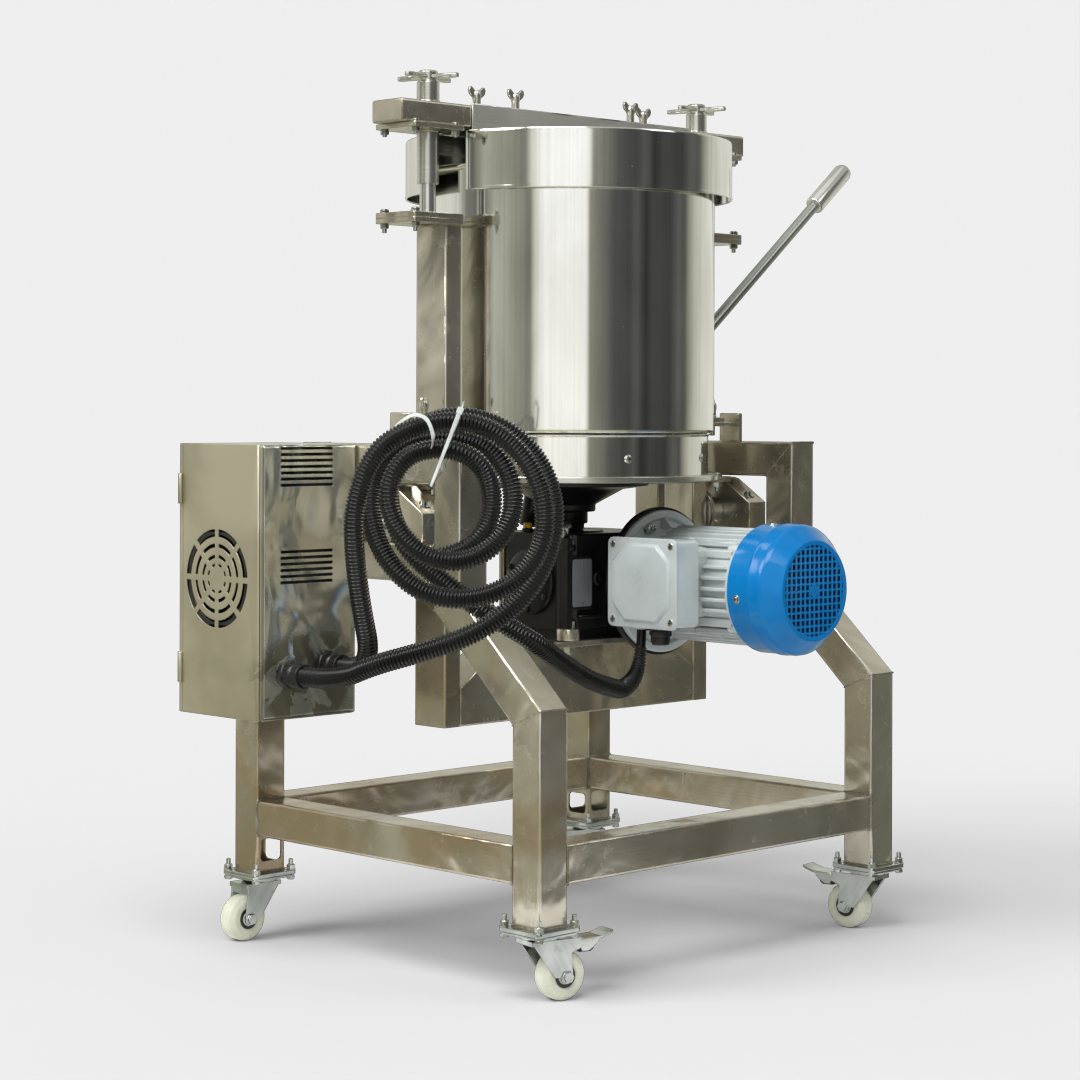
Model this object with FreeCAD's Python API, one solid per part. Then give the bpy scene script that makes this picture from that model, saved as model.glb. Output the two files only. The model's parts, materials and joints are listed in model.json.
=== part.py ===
"""Chocolate melanger: a stone grinder whose drum tilts in a frame on castors.

Millimetres, +Z up, X along the tilt axis, +Y towards the operator, origin on the floor under the drum's axis.
"""
import FreeCAD, Part
import math
import os

os.makedirs("parts", exist_ok=True)
Vec = FreeCAD.Vector
X = Vec(1, 0, 0)
Y = Vec(0, 1, 0)
Z = Vec(0, 0, 1)
SIDES = (-1, 1)

# Fits and gaps
running = 0.08
face_gap = 0.3
lift_gap = 0.3

# Side frames and base rails, of square tube
tube = 50.0
tube_wall = 2.0
frame_width = 712.0
frame_depth = 610.0
post_depth = 314.0
leg_bottom = 95.0
bend_low = 357.0
bend_high = 493.0
frame_top = 696.0
cross_beam_top = 567.0
rail_top = 197.0
leg_window_bottom = 110.0
leg_window_height = 32.0
leg_window_width = 37.0
leg_window_corner = 7.0

# Castors
wheel_d = 63.0
wheel_w = 31.0
wheel_edge = 6.0
castor_trail = 30.0
castor_plate = 74.0
castor_plate_t = 6.0
castor_bolt_pitch = 62.0
castor_bolt_d = 6.0
swivel_boss_d = 24.0
swivel_race_d = 52.0
fork_top = 80.0
fork_plate_t = 6.0
fork_side_t = 2.5
fork_side_gap = 1.2
fork_back = 23.0
fork_front = 5.0
fork_foot = 18.0
fork_ear = 50.0
axle_d = 8.0
axle_eye = 9.0
pedal_pivot_x = 44.0
pedal_pivot_drop = 7.0
pedal_pivot_d = 5.0
pedal_reach = 102.0
pedal_t = 3.0
castors = {
    "near": (-1, -1, -12.0, True),
    "left": (-1, 1, 180.0, False),
    "right": (1, -1, 96.0, True),
    "far": (1, 1, 150.0, True),
}

# Tilt axis and its bearings
tilt_axis_z = 590.0
trunnion_d = 36.0
bearing_w = 148.0
bearing_t = 37.0
bearing_eave = 608.0
bearing_peak = 642.0
bearing_peak_w = 40.0
trunnion_flange_d = 80.0
trunnion_flange_t = 8.0
trunnion_sleeve_d = 46.0
trunnion_collar_t = 4.0

# Yoke
yoke_clearance = 92.0
yoke_width = frame_width - 2 * yoke_clearance
column_x = 30.0
column_y = 60.0
yoke_wall = 2.5
yoke_bottom = 315.0
corner_top = 366.0
member_top = 415.0
member_top_half = 165.0
column_top = 991.0
head_plate_x = 90.0
head_plate_y = 80.0
head_plate_t = 7.0
head_plate_out = 65.0
head_plate_reach = yoke_width / 2 + head_plate_out
lift_rod_out = 6.0
lift_rod_x = yoke_width / 2 + lift_rod_out
lift_rod_d = 22.0
lift_rod_top = 1100.0

# Crossbar and what stands on it
crossbar_bottom = 1124.0
crossbar_h = 30.0
crossbar_past = 13.0
crossbar_half = head_plate_reach + crossbar_past
socket_d = 29.6
socket_length = 71.0
star_post_d = 30.0
star_post_h = 30.0
star_hub_h = 14.0
star_arm = 50.0
star_arm_d = 12.0
star_turn = 12.0
spindle_d = 10.0
spindle_end = 1106.0
wing_screw_x = (-180.0, -106.0, 127.0, 154.0)
wing_screw_lift = (3.0, 6.0, 8.0, 2.0)
wing_screw_d = 8.0
wing_span = 26.0
wing_h = 11.0
wing_t = 3.5
neck_d = 12.0
neck_h = 14.0

# Half lids
lid_r = 231.0
lid_t = 2.0
lid_top = 1120.0
lid_skirt = 81.0
lid_gap = 31.0
lid_flange_half = 218.0
lid_tab_x = 50.0
lid_tab_w = 40.0
lid_tab_reach = 14.0

# Drum
drum_r = 206.5
drum_wall = 2.0
drum_bottom = 711.0
drum_floor_t = 4.0
drum_rim = 1075.0
rim_bead = 4.0
stone_t = 42.0
spindle_r = 17.5
spindle_flange_r = 60.0
spindle_flange_t = 8.0
thrust_r = 30.0
housing_top = 690.0
roller_r = 95.0
roller_w = 120.0
roller_inner_x = 45.0
roller_edge = 8.0
roller_axle_d = 28.0
carrier_shaft_d = 44.0
hub_block = 70.0
scraper_t = 6.0
scraper_w = 26.0
scraper_gap = 4.5

# Under the drum
plate_z = 644.0
plate_t = 8.0
plate_r = 212.0
ring_r = 198.4
ring_t = 2.0
ring_top = 708.0
cross_plate_out = 36.0
cross_plate_half = yoke_width / 2 + cross_plate_out
cross_plate_y = 90.0
housing_flange_r = 115.0
housing_neck_r = 39.0
housing_body_r = 45.0
housing_tube_r = 23.0
housing_nut_r = 28.0
housing_nut_gap = 10.0
housing_nut_h = 17.0
housing_neck_h = 10.0
housing_cone_r = 79.0
housing_cone_gap = 5.0
housing_flange_t = 8.0

# Gearbox and base plate
gear_x0 = -72.0
gear_x1 = 115.0
gear_y0 = -70.0
gear_y1 = 70.0
tie_bolt_y1 = 60.0
gear_bottom = 436.0
gear_top = 570.0
gear_corner = 20.0
gear_foot_inset = 10.0
base_plate_t = 8.0
base_plate_x0 = -125.0
base_plate_x1 = 135.0
base_plate_y = 158.0
centre_distance = 75.0
worm_axis_z = 502.0
worm_wheel_r = 59.0
worm_wheel_t = 30.0
gear_cavity = 6.0
tie_bolt_d = 10.0
bush_d = 32.0
bush_t = 16.0
bush_lift = 1.0
tie_bolt_top = 556.0
tie_bolt_end = 14.0
lug_z = 548.0
lug_t = 7.0

# Motor
adapter_r = 70.0
adapter_len = 37.0
motor_flange_r = 100.0
motor_flange_t = 12.0
motor_r = 80.0
motor_end = -312.0
rotor_r = 44.0
rotor_cavity = 1.0
rotor_inset = 20.0
motor_shaft_r = 12.0
cowl_r = 88.0
cowl_wall = 2.0
cowl_start = -310.0
cowl_bevel_start = -368.0
cowl_end = -390.0
cowl_end_r = 66.0
motor_fan_r = 70.0
fan_t = 18.0
box_lid_x = -65.0
box_lid_t = 10.0
box_inner_x = -12.0
box_y0 = -263.0
box_y1 = -137.0
box_z0 = 448.0
box_z1 = 570.0
neck_inset = 28.0
port_x = -35.0
port_y = (-177.0, -212.0)

# Tilt lever
lever_z = 836.0
lever_angle = 38.8
lever_d = 16.0
lever_len = 366.0
grip_d = 28.0
grip_len = 92.0
lever_boss_d = 30.0
lever_boss_t = 10.0

# Upright lock
lock_out = 26.0
lock_x = yoke_width / 2 + lock_out
lock_y = -16.0
lug_past = 14.0
lug_reach = lock_x + lug_past
lug_y = (-30.0, -2.0)
lug_bottom = 725.5
lug_plate_t = 6.0
shelf_t = 6.0
shelf_in = 10.0
shelf_out = 38.0
bracket_y = (-36.0, 2.0)
bracket_top = 738.0
lock_screw_d = 8.0
lock_screw_end = 705.0

# Control box
cbox_w = 165.0
cbox_y = (44.0, 206.0)
cbox_z = (338.0, 696.0)
cbox_wall = 1.5
cbox_corner = 6.0
door_t = 7.5
hinge_out = 2.5
hinge_r = 3.0
supply_hole_d = 20.5
grille_y = 134.0
grille_z = 519.0
grille_rings = ((65.0, 10.0), (46.0, 5.0), (31.5, 4.5), (20.0, 3.5))
grille_spoke = 7.5
louvre_x = -442.0
louvre_w = 88.0
louvre_h = 4.0
louvre_pitch = 8.0
upper_louvre_z = 641.0
upper_louvre_rows = 7
lower_louvre_z = 514.0
lower_louvre_rows = 6
fan_frame = 122.0
fan_frame_t = 25.0
fan_r = 56.0
fan_hub_r = 20.0
fan_blades = 7
control_x = -440.0
switch_z = 620.0
stop_z = 540.0
speed_z = 460.0
gland_x = (-475.0, -410.5)
gland_z = (396.0, 404.5)
gland_r = 15.0
gland_len = 34.0
inverter_back = 18.0
inverter_deep = 85.0
inverter_w = 98.0
inverter_h = 190.0
filter_lift = 22.0
filter_deep = 50.0
filter_h = 80.0

# Conduit: corrugated hose, and the thinner sleeve at the motor
hose_d = 26.0
sleeve_d = 14.0
coil_across = -148.0
coil_depth = -397.0
coil_z = 616.0
coil_r = 130.4
coil_hole = 60.0
coil_t = 41.2
saddle = 14.0
tie_t = 1.6
tie_w = 5.0
tie_angles = (88.0, 124.0)
feed_a = [(-475, 9.7, 396), (-475, -58, 396), (-463, -113, 419), (-430, -164, 436), (-396, -204, 453),
          (-363, -235, 477), (-331, -254, 509), (-308, -265, 545), (-295, -270, 585)]
feed_b = [(-410.5, 9.7, 404.5), (-410.5, -30, 404.5), (-428, -66, 432), (-446, -73, 478), (-452, -71, 530),
          (-457, -68, 585)]
lead = [(-395, -170, 500), (-362, -199, 491), (-333, -223, 468), (-297, -240, 445), (-240, -226, 416),
        (-173, -211, 387), (-108, -194, 370)]
sleeve = [(-108, -194, 370), (-83, -188, 366), (-51, -182, 381), (-36, -177, 412), (-35, -177, 443.8)]


def block(x0, x1, y0, y1, z0, z1):
    """A box between two corners, in any order."""
    low = Vec(min(x0, x1), min(y0, y1), min(z0, z1))
    return Part.makeBox(abs(x1 - x0), abs(y1 - y0), abs(z1 - z0), low)


def rod(start, axis, radius, length):
    """A round bar."""
    return Part.makeCylinder(radius, length, Vec(*start), axis)


def pipe(start, axis, outer, inner, length):
    """A round bar with a bore."""
    return rod(start, axis, outer, length).cut(rod(start, axis, inner, length))


def face(points):
    """A flat face through the points."""
    wire = Part.makePolygon([Vec(*p) for p in points] + [Vec(*points[0])])
    return Part.Face(wire)


def prism(points, direction):
    """A flat outline pushed along a direction."""
    return face(points).extrude(direction)


def turned(profile, centre=(0, 0, 0), axis=Z):
    """A profile of (radius, height) points turned about an axis."""
    solid = face([(r, 0, h) for r, h in profile]).revolve(Vec(0, 0, 0), Z, 360)
    solid.Placement = FreeCAD.Placement(Vec(*centre), FreeCAD.Rotation(Z, axis))
    return solid


def hexagon(start, axis, flats, height):
    """A hexagon head or nut."""
    radius = flats / math.sqrt(3)
    corners = [(radius * math.cos(math.radians(60 * k)), radius * math.sin(math.radians(60 * k)), 0)
               for k in range(6)]
    solid = prism(corners, Vec(0, 0, height))
    solid.Placement = FreeCAD.Placement(Vec(*start), FreeCAD.Rotation(Z, axis))
    return solid


def joined(solids):
    """Several overlapping solids as one."""
    first = solids[0].fuse(solids[1:]) if len(solids) > 1 else solids[0]
    return first.removeSplitter()


def moved(shape, point=(0, 0, 0), turn=0.0):
    """A copy turned about the vertical and then moved."""
    copy = shape.copy()
    copy.Placement = FreeCAD.Placement(Vec(*point), FreeCAD.Rotation(Z, turn)).multiply(copy.Placement)
    return copy


def save(name, solids):
    """Writes one node."""
    shape = solids[0] if len(solids) == 1 else Part.makeCompound(solids)
    shape.exportStep("parts/" + name + ".step")


def hollow_box(x0, x1, y0, y1, z0, z1, wall, open_axis=None):
    """A rectangular tube; its ends along open_axis are open."""
    low = [min(x0, x1) + wall, min(y0, y1) + wall, min(z0, z1) + wall]
    high = [max(x0, x1) - wall, max(y0, y1) - wall, max(z0, z1) - wall]
    if open_axis is not None:
        low[open_axis] -= 2 * wall
        high[open_axis] += 2 * wall
    inner = block(low[0], high[0], low[1], high[1], low[2], high[2])
    return block(x0, x1, y0, y1, z0, z1).cut(inner)


# Side frames
half_width = frame_width / 2
half_depth = frame_depth / 2
post_half = post_depth / 2
leg_line = half_depth - tube / 2
post_line = post_half - tube / 2
leg_x = half_width - tube / 2


def frame_path():
    """The centre line of a side frame's bent tube, from foot to foot."""
    half = [(leg_line, leg_bottom), (leg_line, bend_low), (post_line, bend_high), (post_line, frame_top - tube / 2)]
    return [(-y, z) for y, z in half] + [(y, z) for y, z in reversed(half)]


def offset_path(path, distance):
    """The path moved sideways, with mitred corners."""
    result = []
    for k, (y, z) in enumerate(path):
        before = path[max(k - 1, 0)]
        after = path[min(k + 1, len(path) - 1)]
        into = Vec(0, y - before[0], z - before[1])
        out = Vec(0, after[0] - y, after[1] - z)
        into = out if into.Length == 0 else into
        out = into if out.Length == 0 else out
        into.normalize()
        out.normalize()
        mitre = Vec(0, -(into.z + out.z), into.y + out.y)
        mitre.normalize()
        reach = distance / (mitre.y * -into.z + mitre.z * into.y)
        result.append((y + mitre.y * reach, z + mitre.z * reach))
    return result


def bent_tubes(side):
    """The side frame's seven straight tubes, mitred at the bends."""
    path = frame_path()
    solids = []
    outer_a = offset_path(path, tube / 2)
    outer_b = offset_path(path, -tube / 2)
    inner_a = offset_path(path, tube / 2 - tube_wall)
    inner_b = offset_path(path, -tube / 2 + tube_wall)
    x_outer = side * half_width
    for k in range(len(path) - 1):
        shell = [outer_a[k], outer_a[k + 1], outer_b[k + 1], outer_b[k]]
        bore = [inner_a[k], inner_a[k + 1], inner_b[k + 1], inner_b[k]]
        whole = prism([(x_outer, y, z) for y, z in shell], Vec(-side * tube, 0, 0))
        core = prism([(x_outer - side * tube_wall, y, z) for y, z in bore],
                     Vec(-side * (tube - 2 * tube_wall), 0, 0))
        solids.append(whole.cut(core))
    return solids


def leg_window(side):
    """The rounded opening through the operator-side leg, below the rail."""
    window = block(side * leg_x - leg_window_width / 2, side * leg_x + leg_window_width / 2,
                   leg_line - tube, leg_line + tube, leg_window_bottom, leg_window_bottom + leg_window_height)
    edges = [e for e in window.Edges if abs(e.tangentAt(e.FirstParameter).y) > 0.99]
    return window.makeFillet(leg_window_corner, edges)


def lock_bracket(side):
    """The bracket on the top beam whose shelf lies under the yoke's lock lug."""
    shelf_top = lug_bottom - 0.5
    wall = block(side * (lock_x + shelf_out), side * (lock_x + shelf_out + shelf_t), bracket_y[0], bracket_y[1],
                 frame_top, bracket_top)
    shelf = block(side * (lock_x - shelf_in), side * (lock_x + shelf_out), bracket_y[0], 0, shelf_top - shelf_t, shelf_top)
    slot_r = lock_screw_d / 2 + 0.6
    slot = block(side * lock_x - slot_r, side * lock_x + slot_r, lock_y, 1, shelf_top - 2 * shelf_t, shelf_top + 1)
    bore = rod((side * lock_x, lock_y, shelf_top - 2 * shelf_t), Z, slot_r, 3 * shelf_t)
    return joined([wall, shelf]).cut(slot).cut(bore)


def side_frame(side):
    """Bent tubes, cross beam and lock bracket."""
    solids = bent_tubes(side)
    solids[-1] = solids[-1].cut(leg_window(side))
    beam_y = post_half - tube
    x_outer = side * half_width
    solids.append(hollow_box(x_outer, x_outer - side * tube, -beam_y, beam_y,
                             cross_beam_top - tube, cross_beam_top, tube_wall, 1))
    solids.append(lock_bracket(side))
    return solids


def base_rails():
    """Four tubes between the legs, flush with their outer faces."""
    rails = []
    inner_x = half_width - tube
    inner_y = half_depth - tube
    for s in SIDES:
        rails.append(hollow_box(-inner_x, inner_x, s * half_depth, s * inner_y,
                                rail_top - tube, rail_top, tube_wall, 0))
        rails.append(hollow_box(s * half_width, s * inner_x, -inner_y, inner_y,
                                rail_top - tube, rail_top, tube_wall, 1))
    return rails


def bearing_block(side):
    """A house-shaped plummer block standing on the cross beam."""
    outline = [(-bearing_w / 2, cross_beam_top), (bearing_w / 2, cross_beam_top), (bearing_w / 2, bearing_eave),
               (bearing_peak_w / 2, bearing_peak), (-bearing_peak_w / 2, bearing_peak),
               (-bearing_w / 2, bearing_eave)]
    inner = half_width - tube + 2
    solid = prism([(side * inner, y, z) for y, z in outline], Vec(side * bearing_t, 0, 0))
    bore = rod((side * (inner - 1), 0, tilt_axis_z), X * side, trunnion_d / 2 + running, bearing_t + 2)
    return solid.cut(bore)


# Castors
plate_low = leg_bottom - castor_plate_t
lower_plate_t = 3.0
castor_top = plate_low - lower_plate_t
race_gap = castor_top - fork_top


def castor_mounting():
    """Welded flange, castor plate with its boss, and four bolts, about the swivel axis."""
    half = castor_plate / 2
    hole = castor_bolt_d / 2
    pitch = castor_bolt_pitch / 2
    flange = block(-half, half, -half, half, plate_low, leg_bottom)
    plate = block(-half, half, -half, half, castor_top, plate_low)
    race = pipe((0, 0, fork_top + face_gap), Z, swivel_race_d / 2, 5, castor_top - fork_top - face_gap)
    boss_low = fork_top - fork_plate_t - 4
    boss = rod((0, 0, boss_low), Z, swivel_boss_d / 2, castor_top - boss_low)
    washer = rod((0, 0, boss_low), Z, wheel_w / 2 + fork_side_gap - face_gap, 4 - face_gap)
    plate = joined([plate, race, boss, washer])
    solids = []
    for sx in SIDES:
        for sy in SIDES:
            at = (sx * pitch, sy * pitch, castor_top - 4)
            hole_cut = rod(at, Z, hole, 30)
            flange = flange.cut(hole_cut)
            plate = plate.cut(hole_cut)
            solids.append(joined([hexagon(at, Z, 10, 4), rod(at, Z, hole, 28),
                                  hexagon((at[0], at[1], leg_bottom), Z, 10, 8)]))
    return [flange, plate] + solids


def fork(braked):
    """The swivel fork with its axle, trail along +X, and ears for the pedal's pin where it has one."""
    side_y = wheel_w / 2 + fork_side_gap
    width = side_y + fork_side_t
    axle_z = wheel_d / 2
    top = block(-fork_back, castor_trail + 8, -width, width, fork_top - fork_plate_t, fork_top)
    ear_low = fork_top - 2 * pedal_pivot_drop
    front = castor_trail + fork_front
    ear = fork_ear if braked else front
    cheeks = []
    for s in SIDES:
        outline = [(-fork_back, fork_top), (ear, fork_top), (ear, ear_low), (front + 1, ear_low - 5),
                   (castor_trail + axle_eye, axle_z), (castor_trail - fork_foot, axle_z)]
        cheeks.append(prism([(x, s * side_y, z) for x, z in outline], Vec(0, s * fork_side_t, 0)))
        cheeks.append(rod((castor_trail, s * side_y, axle_z), Y * s, axle_eye, fork_side_t))
    body = joined([top] + cheeks)
    body = body.cut(rod((0, 0, 0), Z, swivel_boss_d / 2 + running, 2 * fork_top))
    axle = joined([rod((castor_trail, -width - 4, axle_z), Y, axle_d / 2, 2 * width + 8),
                   hexagon((castor_trail, width, axle_z), Y, 13, 5),
                   hexagon((castor_trail, -width - 5, axle_z), Y, 13, 5)])
    if not braked:
        return [joined([body.cut(axle), axle])]
    pin_z = fork_top - pedal_pivot_drop
    pin = rod((pedal_pivot_x, -width, pin_z), Y, pedal_pivot_d / 2, 2 * width)
    return [joined([body.cut(axle).cut(pin), axle, pin])]


def wheel():
    """A nylon wheel about its axle, along Y at the trail."""
    r = wheel_d / 2
    w = wheel_w / 2
    bore = axle_d / 2 + running
    body = turned([(bore, -w), (r - wheel_edge, -w), (r, -w + wheel_edge), (r, w - wheel_edge),
                   (r - wheel_edge, w), (bore, w)], (castor_trail, 0, r), Y)
    return [body]


def pedal():
    """The brake pedal between the fork's ears, with its toe."""
    half = wheel_w / 2 + fork_side_gap - face_gap
    z = fork_top - pedal_pivot_drop
    bore = rod((pedal_pivot_x, -half - 1, z), Y, pedal_pivot_d / 2 + running, 2 * half + 2)
    knuckle = rod((pedal_pivot_x, -half, z), Y, pedal_pivot_d / 2 + 2.5, 2 * half)
    plate = block(pedal_pivot_x + 2, pedal_reach, -half, half, z - 1, z - 1 + pedal_t)
    rib = block(pedal_pivot_x + 10, pedal_reach - 16, -3, 3, z - 9, z)
    toe = block(pedal_pivot_x + 12, pedal_pivot_x + 30, -8, 8, z - 15, z - 6)
    return [joined([knuckle, plate, rib, toe]).cut(bore)]


def write_castors():
    """Every castor in its place and at its own swivel angle."""
    mountings = []
    for name, (sx, sy, angle, braked) in castors.items():
        at = (sx * leg_x, sy * leg_line, 0)
        mountings += [moved(s, at) for s in castor_mounting()]
        save(name + "_castor_fork", [moved(s, at, angle) for s in fork(braked)])
        save(name + "_castor_wheel", [moved(s, at, angle) for s in wheel()])
        if braked:
            save(name + "_brake_pedal", [moved(s, at, angle) for s in pedal()])
    save("castor_plates", mountings)


# Yoke
yoke_half = yoke_width / 2
yoke_inner = yoke_half - column_x
column_half = column_y / 2


def member_outline(inset):
    """The bottom member's front outline, set in by a wall."""
    slope = math.atan2(member_top - corner_top, yoke_inner - member_top_half)
    side = yoke_inner - inset
    drop = inset / math.cos(slope) - inset * math.tan(slope)
    top_half = member_top_half - inset * math.tan(slope / 2)
    return [(-side, yoke_bottom + inset), (side, yoke_bottom + inset), (side, corner_top - drop),
            (top_half, member_top - inset), (-top_half, member_top - inset), (-side, corner_top - drop)]


def yoke_frame():
    """Two columns, the bottom member between them and the lock lugs."""
    solids = []
    for s in SIDES:
        column = hollow_box(s * yoke_half, s * yoke_inner, -column_half, column_half,
                            yoke_bottom, column_top, yoke_wall)
        lug = block(s * yoke_half, s * lug_reach, lug_y[0], lug_y[1], lug_bottom, lug_bottom + lug_plate_t)
        hole = rod((s * lock_x, lock_y, lug_bottom - 1), Z, lock_screw_d / 2 + running, lug_plate_t + 2)
        solids += [column, lug.cut(hole)]
    whole = prism([(x, -column_half, z) for x, z in member_outline(0)], Vec(0, column_y, 0))
    core = prism([(x, -column_half + yoke_wall, z) for x, z in member_outline(yoke_wall)],
                 Vec(0, column_y - 2 * yoke_wall, 0))
    solids.append(whole.cut(core))
    return solids


def trunnion(side):
    """Stub shaft with its welded flange, spacer sleeve and end collar."""
    block_in = half_width - tube + 2
    block_out = block_in + bearing_t
    r = trunnion_d / 2
    end = block_out + face_gap + trunnion_collar_t
    profile = [(0, yoke_half), (trunnion_flange_d / 2, yoke_half),
               (trunnion_flange_d / 2, yoke_half + trunnion_flange_t),
               (trunnion_sleeve_d / 2, yoke_half + trunnion_flange_t),
               (trunnion_sleeve_d / 2, block_in - face_gap), (r, block_in - face_gap),
               (r, block_out + face_gap), (r + 4, block_out + face_gap), (r + 4, end), (0, end)]
    return turned(profile, (0, 0, tilt_axis_z), X * side)


def head_plate(side, low, holes):
    """One flange plate on or over a column, drilled for the rod."""
    outer = side * head_plate_reach
    plate = block(outer, outer - side * head_plate_x, -head_plate_y / 2, head_plate_y / 2, low, low + head_plate_t)
    return plate.cut(rod((side * lift_rod_x, 0, low - 1), Z, holes, head_plate_t + 2))


def plate_bolts(side, low, high):
    """Four bolts through two stacked plates."""
    solids = []
    middle = side * (head_plate_reach - head_plate_x / 2)
    for dx in SIDES:
        for dy in SIDES:
            at = (middle + dx * (head_plate_x / 2 - 9), dy * (head_plate_y / 2 - 9))
            solids.append((at, low, high))
    return solids


def column_heads():
    """Two stacked plates on each column, their bolts and the lift rod."""
    solids = []
    for s in SIDES:
        lower = head_plate(s, column_top, lift_rod_d / 2)
        upper = head_plate(s, column_top + head_plate_t, lift_rod_d / 2)
        for (x, y), low, high in plate_bolts(s, column_top, column_top + 2 * head_plate_t):
            if abs(x) - 6 < yoke_half:
                continue
            shank = rod((x, y, low - 6), Z, 3, high - low + 10)
            bolt = joined([shank, hexagon((x, y, low - 6), Z, 10, 6), hexagon((x, y, high), Z, 10, 4)])
            lower = lower.cut(shank)
            upper = upper.cut(shank)
            solids.append(bolt)
        rod_solid = rod((s * lift_rod_x, 0, column_top), Z, lift_rod_d / 2, lift_rod_top - column_top)
        solids += [lower, upper, rod_solid]
    return solids


# Head
bar_top = crossbar_bottom + crossbar_h
wing_bore = wing_screw_d / 2 + running


def crossbar():
    """The rectangular tube over the drum, drilled for its screws."""
    bar = hollow_box(-crossbar_half, crossbar_half, -column_half, column_half,
                     crossbar_bottom, bar_top, yoke_wall)
    for s in SIDES:
        bar = bar.cut(rod((s * lift_rod_x, 0, crossbar_bottom - 1), Z, spindle_d / 2 + running, crossbar_h + 2))
    for x in wing_screw_x:
        bar = bar.cut(rod((x, 0, crossbar_bottom - 1), Z, wing_bore, crossbar_h + 2))
    return [bar]


def head_sockets():
    """Flange plates under the crossbar, each with the socket tube that slides on a lift rod."""
    solids = []
    plate_low_z = crossbar_bottom - head_plate_t
    bore = lift_rod_d / 2 + running
    for s in SIDES:
        plate = head_plate(s, plate_low_z, bore)
        tube_solid = pipe((s * lift_rod_x, 0, plate_low_z - socket_length), Z, socket_d / 2, bore, socket_length)
        for (x, y), low, high in plate_bolts(s, plate_low_z, crossbar_bottom):
            if abs(y) < column_half:
                continue
            shank = rod((x, y, low - 6), Z, 3, high - low + 6)
            plate = plate.cut(shank)
            solids.append(joined([shank, hexagon((x, y, low - 6), Z, 10, 6)]))
        solids.append(joined([plate, tube_solid]))
    return solids


def star_handle(side):
    """Four arms on a post; its spindle goes down through the crossbar."""
    x = side * lift_rod_x
    hub_z = bar_top + face_gap + star_post_h
    parts = [rod((x, 0, bar_top + face_gap), Z, star_post_d / 2, star_post_h + 1),
             rod((x, 0, hub_z), Z, star_post_d / 2 - 3, star_hub_h)]
    for k in range(4):
        angle = math.radians(star_turn + 90 * k)
        direction = Vec(math.cos(angle), math.sin(angle), 0)
        arm_z = hub_z + star_hub_h / 2 + 0.4
        r = star_arm_d / 2
        arm = [(0, 9), (r, 9), (r, star_arm - 3), (r - 3, star_arm), (0, star_arm)]
        parts.append(turned(arm, (x, 0, arm_z), direction))
    parts.append(rod((x, 0, spindle_end), Z, spindle_d / 2, bar_top + 5 - spindle_end))
    return joined(parts)


def wing_screw(x, y, seat, lift, end, diameter):
    """A screw with a round neck and two wings."""
    neck = rod((x, y, seat + face_gap), Z, neck_d / 2, neck_h + lift)
    wing_low = seat + face_gap + lift + neck_h - 2
    wings = block(x - wing_span / 2, x + wing_span / 2, y - wing_t / 2, y + wing_t / 2, wing_low, wing_low + wing_h)
    waist = rod((x, y, wing_low), Z, neck_d / 2 - 1, wing_h - 4)
    stem = rod((x, y, end), Z, diameter / 2, seat + 2 - end)
    return joined([neck, wings, waist, stem])


def half_lid(side):
    """Half of the collar over the drum: skirt, top, upstanding flange and two tabs on the crossbar."""
    skirt_low = lid_top - lid_skirt
    shell = pipe((0, 0, skirt_low), Z, lid_r, lid_r - lid_t, lid_skirt)
    top = rod((0, 0, lid_top - lid_t), Z, lid_r, lid_t)
    keep = block(-lid_r - 1, lid_r + 1, side * lid_gap, side * (lid_r + 1), skirt_low - 1, lid_top + 1)
    body = joined([shell, top]).common(keep)
    tab_low = bar_top + lift_gap
    tab_top = tab_low + lid_t
    flange = block(-lid_flange_half, lid_flange_half, side * lid_gap, side * (lid_gap + lid_t),
                   lid_top - lid_t, tab_top)
    parts = [body, flange]
    for s in SIDES:
        parts.append(block(s * lid_tab_x - lid_tab_w / 2, s * lid_tab_x + lid_tab_w / 2,
                           side * (lid_gap + lid_t), side * (lid_gap - lid_tab_reach), tab_low, tab_top))
    return joined(parts)


# Drum
drum_floor = drum_bottom + drum_floor_t
stone_top = drum_floor + stone_t
roller_z = stone_top + roller_r + 0.5
thrust_bottom = housing_top + face_gap


def drum_shell():
    """The polished drum: wall, floor and a rolled rim."""
    inner = drum_r - drum_wall
    profile = [(spindle_r, drum_bottom), (drum_r, drum_bottom), (drum_r, drum_rim), (inner, drum_rim),
               (inner, drum_floor), (spindle_r, drum_floor)]
    bead = Part.makeTorus(drum_r - drum_wall / 2, rim_bead, Vec(0, 0, drum_rim), Z)
    return joined([turned(profile), bead])


def base_stone():
    """The granite disc on the drum's floor."""
    return pipe((0, 0, drum_floor), Z, drum_r - drum_wall, spindle_r, stone_t)


def drum_spindle():
    """Spindle with its flange and thrust shoulder, and the worm wheel on it."""
    flange_low = drum_bottom - spindle_flange_t
    wheel_low = worm_axis_z - worm_wheel_t / 2
    end = gear_bottom + 8
    profile = [(0, end), (spindle_r, end), (spindle_r, thrust_bottom), (thrust_r, thrust_bottom),
               (thrust_r, flange_low), (spindle_flange_r, flange_low), (spindle_flange_r, drum_bottom),
               (spindle_r, drum_bottom), (spindle_r, stone_top), (0, stone_top)]
    worm_wheel = pipe((0, 0, wheel_low), Z, worm_wheel_r, spindle_r, worm_wheel_t)
    return [turned(profile), worm_wheel]


def roller(side):
    """A granite roller on its axle, along X."""
    inner = roller_axle_d / 2 + running
    edge = roller_edge
    start = roller_inner_x
    end = roller_inner_x + roller_w
    profile = [(inner, start), (roller_r - edge, start), (roller_r, start + edge), (roller_r, end - edge),
               (roller_r - edge, end), (inner, end)]
    return turned(profile, (0, 0, roller_z), X * side)


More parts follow.
